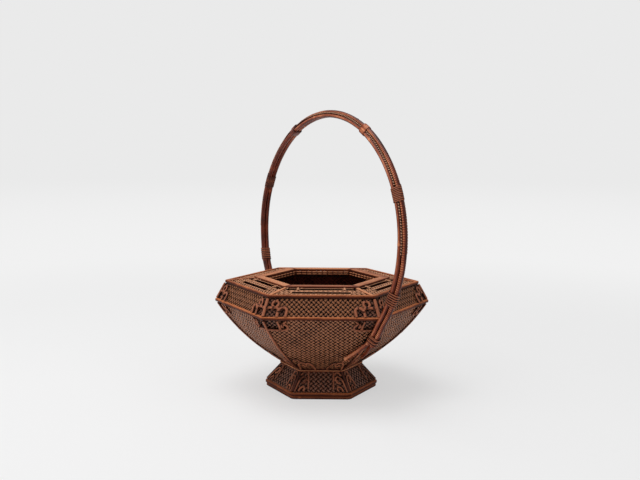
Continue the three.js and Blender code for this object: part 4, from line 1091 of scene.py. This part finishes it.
TO_BASKET = Matrix.Rotation(radians(60), 4, "Z")  # from the camera's upright frame (x right, y away)
AIM = Vector((0, 0, 0.15))
LAMPS = (("top", (-0.45, 0.0, 1.9), (1.5, 1.3), 20), ("left", (-1.4, -0.8, 1.2), (1.0, 1.0), 8),
         ("right", (1.5, -0.9, 1.1), (1.0, 1.0), 3))  # name, place, size and watts
WHITE = (1, 1, 1, 1)
WORLD_LIGHT = 0.42
BACKGROUND, FLOOR_GLOW = 0.823, 0.88  # how light the backdrop and the floor look
FLOOR_SHARE = 0.6  # share of that glow on the floor beside the basket
FLOOR_HALF, FLOOR_DROP = 30, 0.0002
LENS, YAW, PITCH, ROLL = 49.37, -0.0087, 0.11934, 0.00527
CAMERA_PLACE = (0.00851, -1.33863, 0.38972)

for name, place, size, watts in LAMPS:
    lamp = bpy.data.lights.new(name, "AREA")
    lamp.shape = "RECTANGLE"
    lamp.size, lamp.size_y = size
    lamp.energy = watts
    made = add_object(name, lamp)
    made.location = TO_BASKET @ Vector(place)
    made.rotation_mode = "QUATERNION"
    made.rotation_quaternion = (AIM - made.location).to_track_quat("-Z", "Y")

world = bpy.data.worlds.new("studio")
scene.world = world
world.use_nodes = True
tree = world.node_tree
lit, seen = (node(tree, "Background", {"Color": WHITE, "Strength": light})
             for light in (WORLD_LIGHT, BACKGROUND))
mix = node(tree, "MixShader", {0: node(tree, "LightPath", output="Is Camera Ray"), 1: lit, 2: seen})
fill(tree.nodes["World Output"], {0: mix})

floor_mesh = bpy.data.meshes.new("floor")
floor_corners = [(x * FLOOR_HALF, y * FLOOR_HALF, 0) for x, y in ((-1, -1), (1, -1), (1, 1), (-1, 1))]
floor_mesh.from_pydata(floor_corners, [], [(0, 1, 2, 3)])
floor = add_object("floor", floor_mesh)
floor.location.z = -FLOOR_DROP
paper, tree, shader = new_material("paper")
coords = node(tree, "TexCoord", output="Object")
tint = node(tree, "ValToRGB", {"Fac": noise(tree, coords, 3.0, 2.0)})
tint.node.color_ramp.elements[0].color = (0.84, 0.84, 0.845, 1)
tint.node.color_ramp.elements[1].color = (0.87, 0.87, 0.87, 1)
fill(shader, {"Base Color": tint, "Roughness": 0.9, "Specular IOR Level": 0.1})
distance = node(tree, "VectorMath", {0: coords}, "Value", operation="LENGTH")
far = remap(tree, distance, 0.3, 1.6, FLOOR_SHARE, 1, interpolation_type="SMOOTHSTEP")
glow_level = remap(tree, distance, 1, 7, FLOOR_GLOW, BACKGROUND, interpolation_type="SMOOTHSTEP")
glow = node(tree, "Emission", {"Color": WHITE, "Strength": glow_level})
share = maths(tree, "MULTIPLY", far, node(tree, "LightPath", output="Is Camera Ray"))
both = node(tree, "MixShader", {0: share, 1: shader.outputs[0], 2: glow})
fill(tree.nodes["Material Output"], {0: both})
floor_mesh.materials.append(paper)

camera_data = bpy.data.cameras.new("camera")
camera_data.sensor_width = 36
camera_data.lens = LENS
camera_data.clip_end = 100
camera = add_object("camera", camera_data)
pose = TO_BASKET @ Matrix.Translation(CAMERA_PLACE)
for angle, axis in ((-YAW, "Z"), (pi / 2 - PITCH, "X"), (ROLL, "Z")):
    pose = pose @ Matrix.Rotation(angle, 4, axis)
camera.matrix_world = pose
scene.camera = camera
scene.view_settings.view_transform = "Standard"

bpy.context.view_layer.update()
